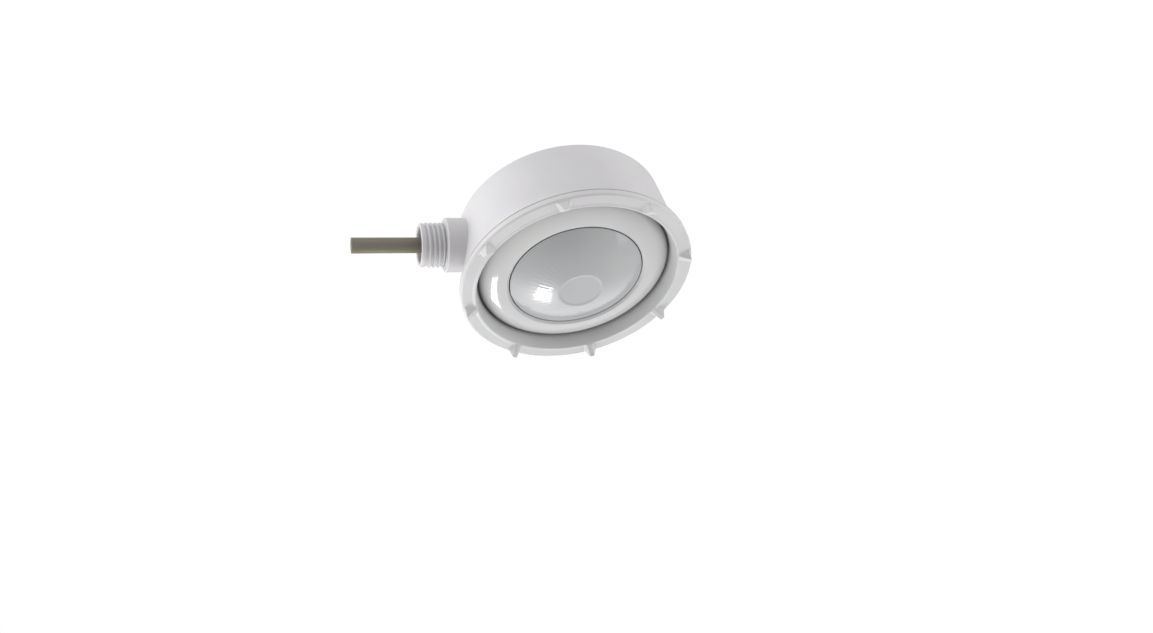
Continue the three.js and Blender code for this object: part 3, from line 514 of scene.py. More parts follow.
class Finish:
    """A procedural material that is built up on one Principled shader."""

    def __init__(self, name, settings):
        self.material = bpy.data.materials.new(name)
        self.material.use_nodes = True
        self.tree = self.material.node_tree
        self.shader = self.tree.nodes["Principled BSDF"]
        self.coordinates = self.node("ShaderNodeTexCoord").outputs["Object"]
        for key, value in settings.items():
            self.shader.inputs[key].default_value = value

    def node(self, kind, inputs=None, **settings):
        return add_node(self.tree, kind, inputs, **settings)

    def multiply(self, value, factor, plus=0.0):
        inputs = {0: value, 1: factor, 2: plus}
        return self.node("ShaderNodeMath", inputs, operation="MULTIPLY_ADD").outputs[0]

    def noise(self, size, detail=3.0, stretch=(1, 1, 1)):
        """Noise whose features are about size millimetres wide, longer by stretch."""
        scale = [1 / way for way in stretch]
        mapped = self.node("ShaderNodeMapping", {"Vector": self.coordinates, "Scale": scale})
        inputs = {"Vector": mapped.outputs[0], "Scale": 1000 / size, "Detail": detail}
        return self.node("ShaderNodeTexNoise", inputs).outputs["Fac"]

    def span(self, value, low, high, from_low=0.32, from_high=0.68):
        """Low to high, smoothly, while the value goes from from_low to from_high."""
        inputs = {"Value": value, "From Min": from_low, "From Max": from_high, "To Min": low, "To Max": high}
        return self.node("ShaderNodeMapRange", inputs, interpolation_type="SMOOTHSTEP").outputs["Result"]

    def blend(self, share, first, second):
        return self.node("ShaderNodeMix", {0: share, 6: first, 7: second}, data_type="RGBA").outputs[2]

    def edge_wear_highlight_and_crease_shade(self, colour, edge_colour, crease_shade_colour, amount=0.5):
        """Lightens the convex edges, partly as wear and partly as a painted highlight, and darkens the
        creases of the mesh with painted shade.
        """
        pointiness = self.node("ShaderNodeNewGeometry").outputs["Pointiness"]
        edge = self.span(pointiness, 0.0, amount, 0.51, 0.60)
        crease_shade = self.span(pointiness, amount, 0.0, 0.40, 0.49)
        return self.blend(crease_shade, self.blend(edge, colour, edge_colour), crease_shade_colour)

    def shaded(self, colour, reach, darkest):
        """Paints shade into a colour: darkens it where neighbouring surfaces within reach millimetres close
        it in.
        """
        shade = self.node("ShaderNodeAmbientOcclusion", {"Distance": reach * MM}, samples=8).outputs["AO"]
        return self.blend(self.span(shade, 1, 0, 0.0, 0.75), colour, darkest)

    def relief(self, layers):
        """Bump from (height, depth in millimetres) layers."""
        normal = None
        for height, depth in layers:
            inputs = {"Height": height, "Distance": depth * MM, "Strength": 1.0}
            if normal is not None:
                inputs["Normal"] = normal
            normal = self.node("ShaderNodeBump", inputs).outputs["Normal"]
        self.use("Normal", normal)

    def use(self, key, value):
        self.tree.links.new(value, self.shader.inputs[key])


def scaled(colour, factor):
    """A colour made lighter or darker by a factor."""
    return [min(1.0, factor * part) for part in colour[:3]] + [1.0]


def moulded(
    name, dark, light, roughness, grain=0.45, depth=0.004, wave=0.04, reach=0.0, uneven=0.05, settings=None
):
    """Moulded plastic or rubber: clouded colour, fine grain, uneven gloss, edges lighter as wear and as a
    painted highlight, painted shade in creases and recesses.
    """
    look = Finish(name, settings or {})
    clouds = look.noise(26, 1)
    colour = look.blend(look.span(clouds, 0, 1, 0.2, 0.8), dark, light)
    # Painted highlight and wear on the edges; painted shade in the creases.
    colour = look.edge_wear_highlight_and_crease_shade(colour, scaled(light, 1.10), scaled(dark, 0.80))
    # Painted shade in recesses that nearby surfaces close in, when a reach is given.
    if reach:
        colour = look.shaded(colour, reach, scaled(dark, 0.4))
    look.use("Base Color", colour)
    gloss = look.noise(7, 1)
    look.use("Roughness", look.span(gloss, roughness - uneven, roughness + uneven, 0.2, 0.8))
    look.relief([(look.noise(9, 1), wave), (look.noise(grain, 2), depth)])
    return look.material


def metal(name, dark, light, roughness, stretch=(1, 1, 1)):
    """Bare metal: uneven tone, drawn or turned marks, patchy gloss, edges lighter as wear and as a painted
    highlight, painted shade in creases.
    """
    look = Finish(name, {"Metallic": 1.0})
    marks = look.noise(0.5, 4, stretch)
    patches = look.noise(5, 3)
    colour = look.blend(look.span(patches, 0, 1), dark, light)
    # Painted highlight and wear on the edges; strong painted shade in the creases.
    look.use("Base Color", look.edge_wear_highlight_and_crease_shade(colour, light, scaled(dark, 0.45), 0.7))
    look.use("Roughness", look.span(marks, roughness - 0.06, roughness + 0.08))
    look.relief([(marks, 0.003)])
    return look.material


def cable_sheathing():
    """Satin cable sheath: faint drawn lines along it, a patchy olive tint down its lower front side, edges
    lighter as wear and as a painted highlight, painted shade in creases.
    """
    look = Finish("cable_sheathing", {"Specular IOR Level": 0.35, "Coat Weight": 0.1, "Coat Roughness": 0.4})
    lines = look.noise(0.7, 2, (60, 1, 1))
    smudges = look.noise(7, 2, (2.5, 1, 1))
    grey = look.blend(look.span(lines, 0, 1), tone(124, 118, 108), tone(130, 124, 113))
    place = look.node("ShaderNodeSeparateXYZ", {0: look.coordinates}).outputs
    forward_share = 0.75
    height = look.multiply(place["Y"], forward_share, look.multiply(place["Z"], 0.66))
    middle = -forward_share * HUB_FORWARD
    edges = (middle - 0.8 * CABLE_RADIUS, middle - 0.2 * CABLE_RADIUS)
    near = look.span(height, 1, 0, edges[0] * MM, edges[1] * MM)
    # Patchy olive tint down the side towards -Y and -Z.
    olive_share = look.multiply(near, look.span(smudges, 0.4, 0.9))
    olive = look.blend(olive_share, grey, tone(112, 108, 72))
    # Painted highlight and wear on the edges; painted shade in the creases.
    look.use("Base Color", look.edge_wear_highlight_and_crease_shade(olive, tone(140, 136, 126), tone(80, 76, 66)))
    look.use("Roughness", look.span(smudges, 0.46, 0.60))
    look.relief([(lines, 0.008), (look.noise(0.3, 2), 0.003)])
    return look.material


def frosted_glass():
    """Pressed glass, frosted on its inner side and polished on its outer side, with painted shade near its
    edge inside the bezel's window.
    """
    settings = {
        "IOR": 1.46,
        "Transmission Weight": 0.18,
        "Coat Weight": 1.0,
        "Coat Roughness": 0.035,
        "Coat IOR": 1.5,
        "Subsurface Weight": 0.15,
        "Subsurface Radius": (1.0, 1.0, 1.0),
        "Subsurface Scale": 2.0 * MM,
    }
    look = Finish("frosted_glass", settings)
    clouds = look.noise(24, 1)
    colour = look.blend(look.span(clouds, 0, 1, 0.2, 0.8), tone(190, 193, 195), tone(197, 198, 198))
    # Painted shade: darker near the lens's edge, where the bezel closes it in.
    look.use("Base Color", look.shaded(colour, 8, tone(60, 62, 63)))
    look.use("Roughness", look.span(look.noise(6, 1), 0.31, 0.34))
    look.relief([(look.noise(12, 1), 0.02)])
    return look.material


def quartz():
    """Clear quartz with faint draw streaks."""
    look = Finish("quartz", {"IOR": 1.46, "Transmission Weight": 1.0})
    streaks = look.noise(1.5, 3, (1, 6, 1))
    look.use("Base Color", look.blend(look.span(streaks, 0, 1), tone(244, 247, 250), tone(255, 255, 255)))
    look.use("Roughness", look.span(streaks, 0.01, 0.06))
    look.relief([(streaks, 0.01)])
    return look.material


def mirror():
    """Polished aluminium, slightly rippled, with faint haze."""
    look = Finish("mirror", {"Metallic": 1.0})
    haze = look.noise(9, 4)
    look.use("Base Color", look.blend(look.span(haze, 0, 1), tone(226, 228, 231), tone(242, 243, 245)))
    look.use("Roughness", look.span(haze, 0.08, 0.20))
    look.relief([(look.noise(3, 2), 0.012)])
    return look.material


WHITE = {"Specular IOR Level": 0.45, "Subsurface Weight": 0.08, "Subsurface Scale": 1.5 * MM}
GLOSSY = {"Specular IOR Level": 0.12, "Coat Weight": 0.9, "Coat Roughness": 0.085}
SILKY = {"Specular IOR Level": 0.35, "Sheen Weight": 0.05}

finishes = {
    "pot_plastic": moulded("satin_white", tone(208, 207, 209), tone(214, 213, 214), 0.42, settings=WHITE),
    # reach=4: painted shade in the ring's recess and creases.
    "ring_plastic": moulded(
        "satin_ring_white", tone(206, 206, 207), tone(212, 212, 212), 0.42, reach=4, settings=WHITE
    ),
    # reach=14: painted shade on the bezel's foot, deep in the ring's recess.
    "bezel_plastic": moulded(
        "glossy_white", tone(204, 204, 204), tone(209, 209, 208), 0.50,
        grain=0.6, depth=0.0006, wave=0.006, reach=14, uneven=0.01, settings=GLOSSY,
    ),
    "inner_plastic": moulded("off_white", tone(206, 204, 198), tone(219, 217, 211), 0.5),
    "gland_plastic": moulded("dark_plastic", tone(96, 96, 96), tone(112, 112, 112), 0.5),
    "lens_glass": frosted_glass(),
    "bulb_glass": quartz(),
    "holder_ceramic": moulded("ceramic", tone(226, 221, 208), tone(240, 236, 226), 0.7, 0.25, 0.012),
    "seal_rubber": moulded(
        "black_rubber", tone(38, 38, 39), tone(52, 52, 52), 0.62, 0.3, 0.006, settings=SILKY
    ),
    "cable_rubber": cable_sheathing(),
    "core_brown": moulded("brown_insulation", tone(92, 58, 36), tone(110, 70, 44), 0.36),
    "core_blue": moulded("blue_insulation", tone(44, 84, 146), tone(56, 98, 164), 0.36),
    "lead_silicone": moulded(
        "silicone", tone(196, 188, 176), tone(212, 205, 194), 0.55, 0.3, 0.006, settings=SILKY
    ),
    "reflector_metal": mirror(),
    "sheet_steel": metal("sheet_steel", tone(150, 152, 155), tone(184, 186, 189), 0.34, (30, 1, 1)),
    "screw_steel": metal("screw_steel", tone(168, 169, 170), tone(206, 207, 208), 0.26),
    "pin_metal": metal("pin_metal", tone(170, 168, 160), tone(205, 203, 196), 0.30),
    "tungsten": metal("tungsten", tone(92, 92, 96), tone(132, 132, 138), 0.40),
    "brass": metal("brass", tone(178, 142, 74), tone(214, 180, 108), 0.28),
}
copper = metal("copper", tone(176, 98, 62), tone(214, 134, 92), 0.30)


# ---------- pieces and the nodes they stand for ----------

slots = {part["node"]: part["material_slot"] for part in frame["record"]["subparts"]}


def add_to(piece, node, name, slot, material=None):
    """Finishes a piece and lets it ride on its node's body."""
    piece.name = name
    piece.data.name = name
    piece.data.materials.clear()
    piece.data.materials.append(material or finishes[slot])
    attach(piece, frame["nodes"][node]["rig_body"])


def stand_for(piece, node):
    """Gives a piece its node's body and finish, and hides that node."""
    add_to(piece, node, "fine_" + node, slots[node])
    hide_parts(node)


def turn_node(node, outline, segments=256, **options):
    """Turns the piece that stands for a node."""
    stand_for(turned(node, outline, segments, **options), node)


# ---------- pot ----------

DRAFT = (POT_RADIUS - POT_BACK) / POT_FRONT


def pot_shell():
    """The turned wall and floor, with the female thread for the trim ring in its mouth."""
    thread_start = 34.6
    thread_end = 45.0
    thread_depth = 0.62
    groove = 0.4
    groove_inner = 46.0
    groove_outer = 50.6
    outline = rounded([
        (0, groove),
        (2.4, groove, 0.3),
        (3.0, 0, 0.3),
        (groove_inner, 0, 0.3),
        (groove_inner + 0.6, groove, 0.3),
        (groove_outer - 0.6, groove, 0.3),
        (groove_outer, 0, 0.3),
        (POT_BACK, 0, 1.3),
        (POT_BACK + DRAFT * BEAD_REAR, BEAD_REAR, 0.2),
        (BEAD_RADIUS, BEAD_REAR + 0.4, 0.4),
        (BEAD_RADIUS, BEAD_FRONT, 0.4),
        (POT_RADIUS, BEAD_FRONT, 0.15),
        (POT_RADIUS, POT_FRONT, 0.3),
        (POT_MOUTH, POT_FRONT, 0.4),
        (POT_MOUTH, LEDGE, 0.3),
        (LEDGE_RADIUS, LEDGE, 0.3),
        (LEDGE_RADIUS, LEDGE - 2, 0.4),
        (POT_INNER, LEDGE - 4, 0.6),
        (POT_INNER, POT_FLOOR, 1.5),
        (0, POT_FLOOR),
    ], closed=False)
    outline = refined(outline, 0.22, lambda p: p.x == POT_MOUTH and thread_start < p.y < thread_end, False)
    outline = refined(outline, 1.6, lambda p: p.x > POT_INNER - 0.1 and 1.4 < p.y < BEAD_REAR, False)

    def shape(radius, height, angle):
        if abs(radius - POT_MOUTH) > 0.01 or not thread_start < height < thread_end:
            return radius, height
        turns = height / RING_PITCH - angle / (2 * math.pi) + 0.5
        share = thread(height, turns, thread_start, thread_end, 1.2, 0.06, 0.28)
        return radius - thread_depth * share, height

    return turned("pot", outline, 256, closed=False, shape=shape)


def hub_and_nipple():
    """The side hub, faired into the pot's wall, with the threaded nipple on it."""
    fairing = 0.8
    sunk = 0.12
    buried = 1.5
    wall_marker = 40.0
    thread_start = 76.35
    thread_end = 87.6
    first_crest = 78.58
    fillet_arc = arc((HUB_RADIUS + fairing, fairing - sunk), (fairing, fairing), 270, 180, 8)
    wall_rows = [(0, -buried), (HUB_RADIUS + fairing, -buried)] + fillet_arc
    end_rows = rounded([
        (HUB_RADIUS, 68),
        (HUB_RADIUS, HUB_SHOULDER, 0.9),
        (NIPPLE_NECK, HUB_SHOULDER, 0.25),
        (NIPPLE_NECK, thread_start, 0.2),
        (NIPPLE_ROOT, thread_start, 0.1),
        (NIPPLE_ROOT, thread_end, 0.1),
        (NIPPLE_COLLAR, thread_end + 0.5, 0.3),
        (NIPPLE_COLLAR, NIPPLE_END, 0.9),
        (0, NIPPLE_END),
    ], closed=False)
    end_rows = refined(end_rows, 0.16, lambda p: abs(p.x - NIPPLE_ROOT) < 0.01, False)
    outline = [(r, h - wall_marker) for r, h in wall_rows] + [(p.x, p.y) for p in end_rows]

    def shape(radius, height, angle):
        if height < 0:
            forward = HUB_FORWARD - radius * math.cos(angle)
            wall = POT_BACK + DRAFT * forward
            across = radius * math.sin(angle)
            return radius, math.sqrt(wall ** 2 - across ** 2) + height + wall_marker
        if radius <= NIPPLE_ROOT + 0.01 and thread_start < height < thread_end:
            turns = (height - first_crest) / NIPPLE_PITCH + angle / (2 * math.pi)
            depth = NIPPLE_CREST - NIPPLE_ROOT
            return radius + depth * thread(height, turns, thread_start, thread_end, 0.9), height
        return radius, height

    hub = turned("hub", outline, 192, on_nipple_axis, closed=False, shape=shape)
    for vertex in hub.data.vertices:
        vertex.co.y = min(vertex.co.y, -0.15 * MM)
        if abs(vertex.co.z) < 1e-9 and vertex.co.x > -(POT_BACK - 20) * MM:
            vertex.co.x = -(POT_BACK - buried) * MM
    return hub


def gland_bore():
    """The bore for the gland, with its female thread, and the passage into the pot."""
    thread_start = 79.5
    outline = rounded([
        (0, POT_INNER - 3),
        (PASSAGE, POT_INNER - 3),
        (PASSAGE, GLAND_SEAT),
        (GLAND_BORE, GLAND_SEAT, 0.3),
        (GLAND_BORE, NIPPLE_END - 0.6, 0.2),
        (GLAND_BORE + 1.6, NIPPLE_END + 1),
        (0, NIPPLE_END + 1),
    ], closed=False)
    outline = refined(outline, 0.16, lambda p: p.x == GLAND_BORE and p.y > thread_start, False)

    def shape(radius, height, angle):
        if abs(radius - GLAND_BORE) > 0.01 or height < thread_start:
            return radius, height
        turns = height / GLAND_PITCH + angle / (2 * math.pi)
        return radius + 0.4 * thread(height, turns, thread_start, NIPPLE_END - 0.7, 0.5, 0.16, 0.4), height

    return turned("bore", outline, 128, on_nipple_axis, closed=False, shape=shape)


def post(radius, top, x, z):
    """A screw post that stands on the pot's floor, with a flared foot."""
    foot = POT_FLOOR - 0.05
    outline = rounded([
        (SCREW_HOLE, foot),
        (radius + 0.9, foot),
        (radius + 0.1, foot + 0.9, 0.5),
        (radius, top, 0.25),
        (SCREW_HOLE, top, 0.3),
    ])
    return moved(turned("post", outline, 48), x, 0, z)


def pot_posts():
    """The screw posts, the cradle under the cable and the pedestal under the terminal block."""
    thick = 3.2
    slim = 2.8
    posts = [post(thick, REFLECTOR_FLANGE - GAP, x, z) for x, z in REFLECTOR_SCREWS]
    for holder_place, clamp_place in zip(HOLDER_SCREWS, CLAMP_SCREWS):
        posts.append(post(thick, HOLDER_BOSS, *holder_place))
        posts.append(post(slim, CLAMP_SEAT, *clamp_place))
    foot = POT_FLOOR - 0.05
    cradle_top = HUB_FORWARD - CABLE_RADIUS - GAP
    cradle_ends = (-CLAMP_OUTWARD - CLAMP_HALF_WIDTH, -CLAMP_OUTWARD + CLAMP_HALF_WIDTH)
    cradle = block("cradle", cradle_ends, (foot, cradle_top), 4, 0.4)
    pedestal_ends = (-BLOCK_OUTER_END + 1, -BLOCK_INNER_END - 1)
    pedestal = block("pedestal", pedestal_ends, (foot, BLOCK_REAR - GAP), 8, 0.4)
    return gathered("pot_posts", posts + [cradle, pedestal])


def build_pot():
    shell = join(pot_shell(), [hub_and_nipple()])
    stand_for(cut(shell, [gland_bore()]), "housing_pot")
    add_to(pot_posts(), "housing_pot", "pot_posts", "pot_plastic")


# ---------- trim ring ----------


def lug_angles():
    """Angles round the ring, close together across each grip lug."""
    reach = (LUG_HALF_BASE_OUTER + 0.35) / LUG_OUTER
    fine = 44
    coarse = 20
    pitch = 2 * math.pi / LUG_COUNT
    angles = []
    for k in range(LUG_COUNT):
        middle = LUG_PHASE + k * pitch
        angles += [middle - reach + 2 * reach * i / fine for i in range(fine)]
        gap = pitch - 2 * reach
        angles += [middle + reach + gap * i / coarse for i in range(coarse)]
    return angles


def lug_run(radius):
    """How far a radius is along a lug, from 0 at its inner end to 1 at its outer end."""
    return min(1.0, max(0.0, (radius - LUG_INNER) / (LUG_OUTER - LUG_INNER)))


def lug_share(radius, angle):
    """Share of the lug's height over a place on the ring's face."""
    pitch = 2 * math.pi / LUG_COUNT
    away = (angle - LUG_PHASE + pitch / 2) % pitch - pitch / 2
    across = abs(radius * math.sin(away))
    half_base = LUG_HALF_BASE + (LUG_HALF_BASE_OUTER - LUG_HALF_BASE) * lug_run(radius)
    slope = 1 - (across - LUG_HALF_TIP) / (half_base - LUG_HALF_TIP)
    flank = max(0.0, slope) ** 1.9
    crown = 1 - 0.012 * (across / LUG_HALF_TIP) ** 2
    inner = smoothstep(LUG_INNER - 0.25, LUG_INNER + 0.25, radius)
    outer = 1 - smoothstep(LUG_OUTER - 0.55, LUG_OUTER + 0.25, radius)
    return soft_least(flank, crown, 0.12) * inner * outer


def build_trim_ring():
    lug_height = -ring_low.y - RING_FACE
    thread_start = SKIRT_END + 0.5
    thread_end = 45.2
    thread_height = 0.8
    top = POT_FRONT + 0.6
    lip = RING_FACE + RING_LIP
    lip_inner = 61.6
    lip_outer = 62.2
    fine_inner = 62.6
    fine_outer = 67.9
    groove = RING_REAR + 1.3
    groove_bottom = RING_RADIUS - 0.4
    outline = rounded([
        (CHANNEL_OUTER, RING_REAR, 0.3),
        (RING_RADIUS, RING_REAR, 0.4),
        (RING_RADIUS, groove - 0.25, 0.1),
        (groove_bottom, groove - 0.15, 0.1),
        (groove_bottom, groove + 0.15, 0.1),
        (RING_RADIUS, groove + 0.25, 0.1),
        (RING_RADIUS, RING_FACE - RING_BEVEL, 0.4),
        (RING_RADIUS - RING_BEVEL, RING_FACE, 0.4),
        (lip_outer + 1.2, RING_FACE, 0.6),
        (lip_outer, lip, 0.3),
        (lip_inner, lip, 0.25),
        (RING_INNER, RING_FACE, 0.3),
        (SKIRT_INNER, SKIRT_END + 0.6, 0.4),
        (SKIRT_INNER + 0.5, SKIRT_END, 0.2),
        (SKIRT_OUTER, SKIRT_END, 0.3),
        (SKIRT_OUTER, top, 0.3),
        (CHANNEL_OUTER, top, 0.4),
    ])
    on_face = RING_FACE - RING_BEVEL
    outline = refined(outline, 0.5, lambda p: p.y > RING_FACE - 0.05 and p.x > 62)
    outline = refined(outline, 0.14, lambda p: p.y > on_face and not fine_inner <= p.x <= fine_outer)
    outline = refined(outline, 0.2, lambda p: p.x == SKIRT_OUTER and thread_start < p.y < thread_end)
    outline = refined(outline, 1.2, lambda p: p.x < RING_INNER and p.y > SKIRT_END + 1)

    def shape(radius, height, angle):
        if height > on_face and radius > RING_INNER + 0.02:
            crest = RING_FACE + LUG_INNER_HEIGHT + (lug_height - LUG_INNER_HEIGHT) * lug_run(radius)
            rise = (crest - height) * lug_share(radius, angle)
            return radius, height + max(0.0, rise)
        if abs(radius - SKIRT_OUTER) < 0.01 and thread_start < height < thread_end:
            turns = height / RING_PITCH - angle / (2 * math.pi)
            return radius + thread_height * thread(height, turns, thread_start, thread_end, 1.0), height
        return radius, height

    turn_node("trim_ring", outline, shape=shape, angles=lug_angles())


def build_slip_ring():
    low, high = size_of("slip_ring")
    turn_node("slip_ring", band(SKIRT_INNER + 0.5, high.x, -high.y, -low.y, 0.15, 0.15, 0.15, 0.15))


# ---------- bezel and lens ----------


def build_bezel():
    lip_rear = LENS_FLANGE_FRONT + 1.2
    window_bevel = 1.6
    wall = 2.4
    dome = arc(
        (WINDOW + window_bevel, BEZEL_FOOT),
        (BEZEL_RADIUS - WINDOW - window_bevel, BEZEL_CROWN - BEZEL_FOOT),
        0,
        90,
        40,
    )
    skirt = [(BEZEL_FLANGE_RADIUS, BEZEL_FLANGE_REAR, 0.25), (BEZEL_FLANGE_RADIUS, BEZEL_FLANGE_FRONT, 0.3)]
    skirt += [(BEZEL_RADIUS, BEZEL_FLANGE_FRONT, 0.15)]
    window = [(WINDOW + 0.15, BEZEL_CROWN - 1.1, 0.2), (WINDOW, BEZEL_CROWN - 1.5, 0.15)]
    window += [(WINDOW, lip_rear, 0.25)]
    under = [
        (LENS_FLANGE_RADIUS + 0.9, lip_rear, 0.3),
        (SCREW_CIRCLE, lip_rear - 0.8, 0.5),
        (SCREW_CIRCLE + 4, lip_rear - 3, 1.0),
        (BEZEL_RADIUS - wall, BEZEL_FOOT, 1.0),
        (BEZEL_RADIUS - wall, BEZEL_FLANGE_REAR, 0.3),
    ]
    turn_node("bezel_ring", rounded(skirt + dome + window + under))
    hole = 1.2
    rear = 38.5
    front = 41.95
    boss = rounded([(hole, rear, 0.2), (2.6, rear, 0.3), (2.8, front), (hole, front)])
    bosses = [moved(turned("boss", boss, 48), x, 0, z) for x, z in BEZEL_SCREWS]
    add_to(gathered("bezel_bosses", bosses), "bezel_ring", "bezel_bosses", "bezel_plastic")


def build_lens():
    """The domed lens, with shallow radial flutes between its sunken flat disc and its edge."""
    drop = LENS_APEX - LENS_EDGE
    dome_radius = (LENS_RADIUS ** 2 + drop ** 2) / (2 * drop)
    centre = LENS_APEX - dome_radius
    inner_radius = dome_radius - LENS_THICKNESS
    inner_edge = LENS_RADIUS - LENS_THICKNESS
    disc_bevel = 1.3
    flute_depth = 0.045

    def sphere_angle(radius, sphere):
        return math.degrees(math.acos(radius / sphere))

    start = sphere_angle(LENS_RADIUS, dome_radius)
    end = sphere_angle(LENS_DISC_RADIUS + disc_bevel, dome_radius)
    front = arc((0, centre), (dome_radius, dome_radius), start, end, 44)
    inner_start = sphere_angle(inner_edge, inner_radius)
    back = arc((0, centre), (inner_radius, inner_radius), 90, inner_start, 24)
    outline = rounded(
        back
        + [(inner_edge, LENS_FLANGE_REAR, 0.3), (LENS_FLANGE_RADIUS, LENS_FLANGE_REAR, 0.3)]
        + [(LENS_FLANGE_RADIUS, LENS_FLANGE_FRONT, 0.3), (LENS_RADIUS, LENS_FLANGE_FRONT, 0.3)]
        + front
        + [(LENS_DISC_RADIUS, LENS_DISC, 0.8), (0, LENS_DISC)],
        closed=False,
    )

    def shape(radius, height, angle):
        on_front = height > centre + math.sqrt(max(0.0, (dome_radius - 0.3) ** 2 - radius ** 2))
        if not on_front or radius < LENS_DISC_RADIUS:
            return radius, height
        inner = smoothstep(LENS_DISC_RADIUS + disc_bevel, LENS_DISC_RADIUS + 6, radius)
        outer = 1 - smoothstep(LENS_RADIUS - 12, LENS_RADIUS - 4, radius)
        wave = 0.5 - 0.5 * math.cos(FLUTES * angle)
        return radius, height - flute_depth * wave * inner * outer

    turn_node("lens", outline, 8 * FLUTES, closed=False, shape=shape)


def build_lens_gasket():
    rear = LENS_FLANGE_FRONT + 0.2
    outline = band(WINDOW + 0.4, LENS_FLANGE_RADIUS, rear, rear + 0.8, 0.2, 0.25, 0.25, 0.2)
    turn_node("lens_gasket", outline)


def build_pot_gasket():
    """The gasket on the pot's ledge, with the ridge that the bezel's flange presses on."""
    low, high = size_of("pot_gasket")
    ledge_inner = LEDGE_RADIUS + 0.6
    middle = (ledge_inner + high.x) / 2
    base = -high.y
    outline = rounded([
        (ledge_inner, base, 0.2),
        (high.x, base, 0.2),
        (high.x, base + 1, 0.3),
        (middle + 0.9, base + 1, 0.4),
        (middle, -low.y, 0.5),
        (middle - 0.9, base + 1, 0.4),
        (ledge_inner, base + 1, 0.3),
    ])
    turn_node("pot_gasket", outline)


def build_retainer():
    low, high = size_of("lens_retainer")
    inner = WINDOW + 1
    rear = -high.y
    step = rear + 1.4
    front = -low.y
    outline = rounded([
        (inner, rear, 0.3),
        (high.x, rear, 0.4),
        (high.x, step, 0.3),
        (LENS_FLANGE_RADIUS, step, 0.15),
        (LENS_FLANGE_RADIUS, front, 0.25),
        (inner, front, 0.25),
    ])
    outline = refined(outline, 1.5, lambda p: p.y < rear + 0.01)
    ring = turned("retainer", outline, 192)
    holes = screw_holes(BEZEL_SCREWS, rear - 1, step + 1)
    stand_for(softened(cut(ring, holes), 0.15), "lens_retainer")


# ---------- reflector, holder and capsule ----------


def build_reflector():
    """The parabolic bowl with shallow facets, its rolled rim and its mounting flange."""
    wall = 1.0
    flange_front = REFLECTOR_FLANGE + 1.2
    run = REFLECTOR_RIM - REFLECTOR_NECK
    slope = (REFLECTOR_RIM_RADIUS ** 2 - REFLECTOR_NECK_RADIUS ** 2) / run
    vertex = REFLECTOR_NECK - REFLECTOR_NECK_RADIUS ** 2 / slope

    def bowl_radius(forward):
        return math.sqrt((forward - vertex) * slope)

    steps = 48
    inside = []
    for i in range(steps + 1):
        radius = REFLECTOR_NECK_RADIUS + (REFLECTOR_RIM_RADIUS - REFLECTOR_NECK_RADIUS) * i / steps
        inside.append((radius, vertex + radius ** 2 / slope))
    outside = [(r + wall, h - 0.3 * wall) for r, h in inside if h < REFLECTOR_FLANGE - 1][::-1]
    outline = rounded(
        inside
        + [(REFLECTOR_RIM_RADIUS + wall, REFLECTOR_RIM, 0.4)]
        + [(bowl_radius(flange_front) + wall, flange_front, 0.4)]
        + [(REFLECTOR_FLANGE_RADIUS, flange_front, 0.3), (REFLECTOR_FLANGE_RADIUS, REFLECTOR_FLANGE, 0.3)]
        + [(bowl_radius(REFLECTOR_FLANGE) + wall, REFLECTOR_FLANGE, 0.4)]
        + outside
    )

    def shape(radius, height, angle):
        on_bowl = abs(height - vertex - radius ** 2 / slope) < 0.01
        if not on_bowl or radius > REFLECTOR_RIM_RADIUS - 0.8:
            return radius, height
        facet = math.cos(36 * angle) * math.cos(1.1 * radius)
        return radius + 0.06 * facet * smoothstep(8, 12, radius), height

    bowl = turned("reflector", outline, 288, shape=shape)
    holes = screw_holes(REFLECTOR_SCREWS, REFLECTOR_FLANGE - 1, flange_front + 1)
    stand_for(cut(bowl, holes), "reflector")


def build_holder():
    half_length = 9
    body = block("holder", (-half_length, half_length), (HOLDER_REAR, HOLDER_FRONT), 6.5, 0.9)
    tools = []
    for side in SIDES:
        z = side * PIN_SPACING / 2
        tools.append(rod("pin_hole", 1.0, HOLDER_REAR + 0.5, HOLDER_FRONT + 1, 0, z, 0, 32))
        channel = cross_rod("channel", 1.45, half_length - 2.5, half_length + 2.5, HOLDER_REAR + 3, z, 32)
        tools.append(channel)
    groove = block("groove", (-0.5, 0.5), (HOLDER_FRONT - 0.6, HOLDER_FRONT + 1), 10, 0.2)
    tools.append(groove)
    stand_for(softened(cut(body, tools), 0.12), "lamp_holder")


def build_clip():
    low, high = size_of("holder_clip")
    rear = -high.y
    top = -low.y
    sheet = 0.8
    half_width = high.x
    tab_inner = 6.8
    ends = arc((0, high.z - half_width), (half_width, half_width), 0, 180, 24)
    ends += arc((0, half_width - high.z), (half_width, half_width), 180, 360, 24)
    strip = prism("strip", ends, sheet, lambda x, z, along: Vector((x, -rear - along, z)) * MM)
    strip = cut(strip, screw_holes(HOLDER_SCREWS, rear - 1, rear + 2))
    tab_outer = tab_inner + sheet
    section = rounded([
        (tab_outer, rear + 0.02, 0.5),
        (tab_outer, top, 0.35),
        (tab_inner, top, 0.35),
        (tab_inner, rear + sheet - 0.02),
        (-tab_inner, rear + sheet - 0.02),
        (-tab_inner, top, 0.35),
        (-tab_outer, top, 0.35),
        (-tab_outer, rear + 0.02, 0.5),
    ])
    outline = [(p.x, p.y) for p in section]
    half_tab = half_width - 1
    tabs = prism("tabs", outline, 2 * half_tab, lambda z, f, along: Vector((along - half_tab, -f, z)) * MM)
    stand_for(softened(join(strip, [tabs]), 0.1), "holder_clip")


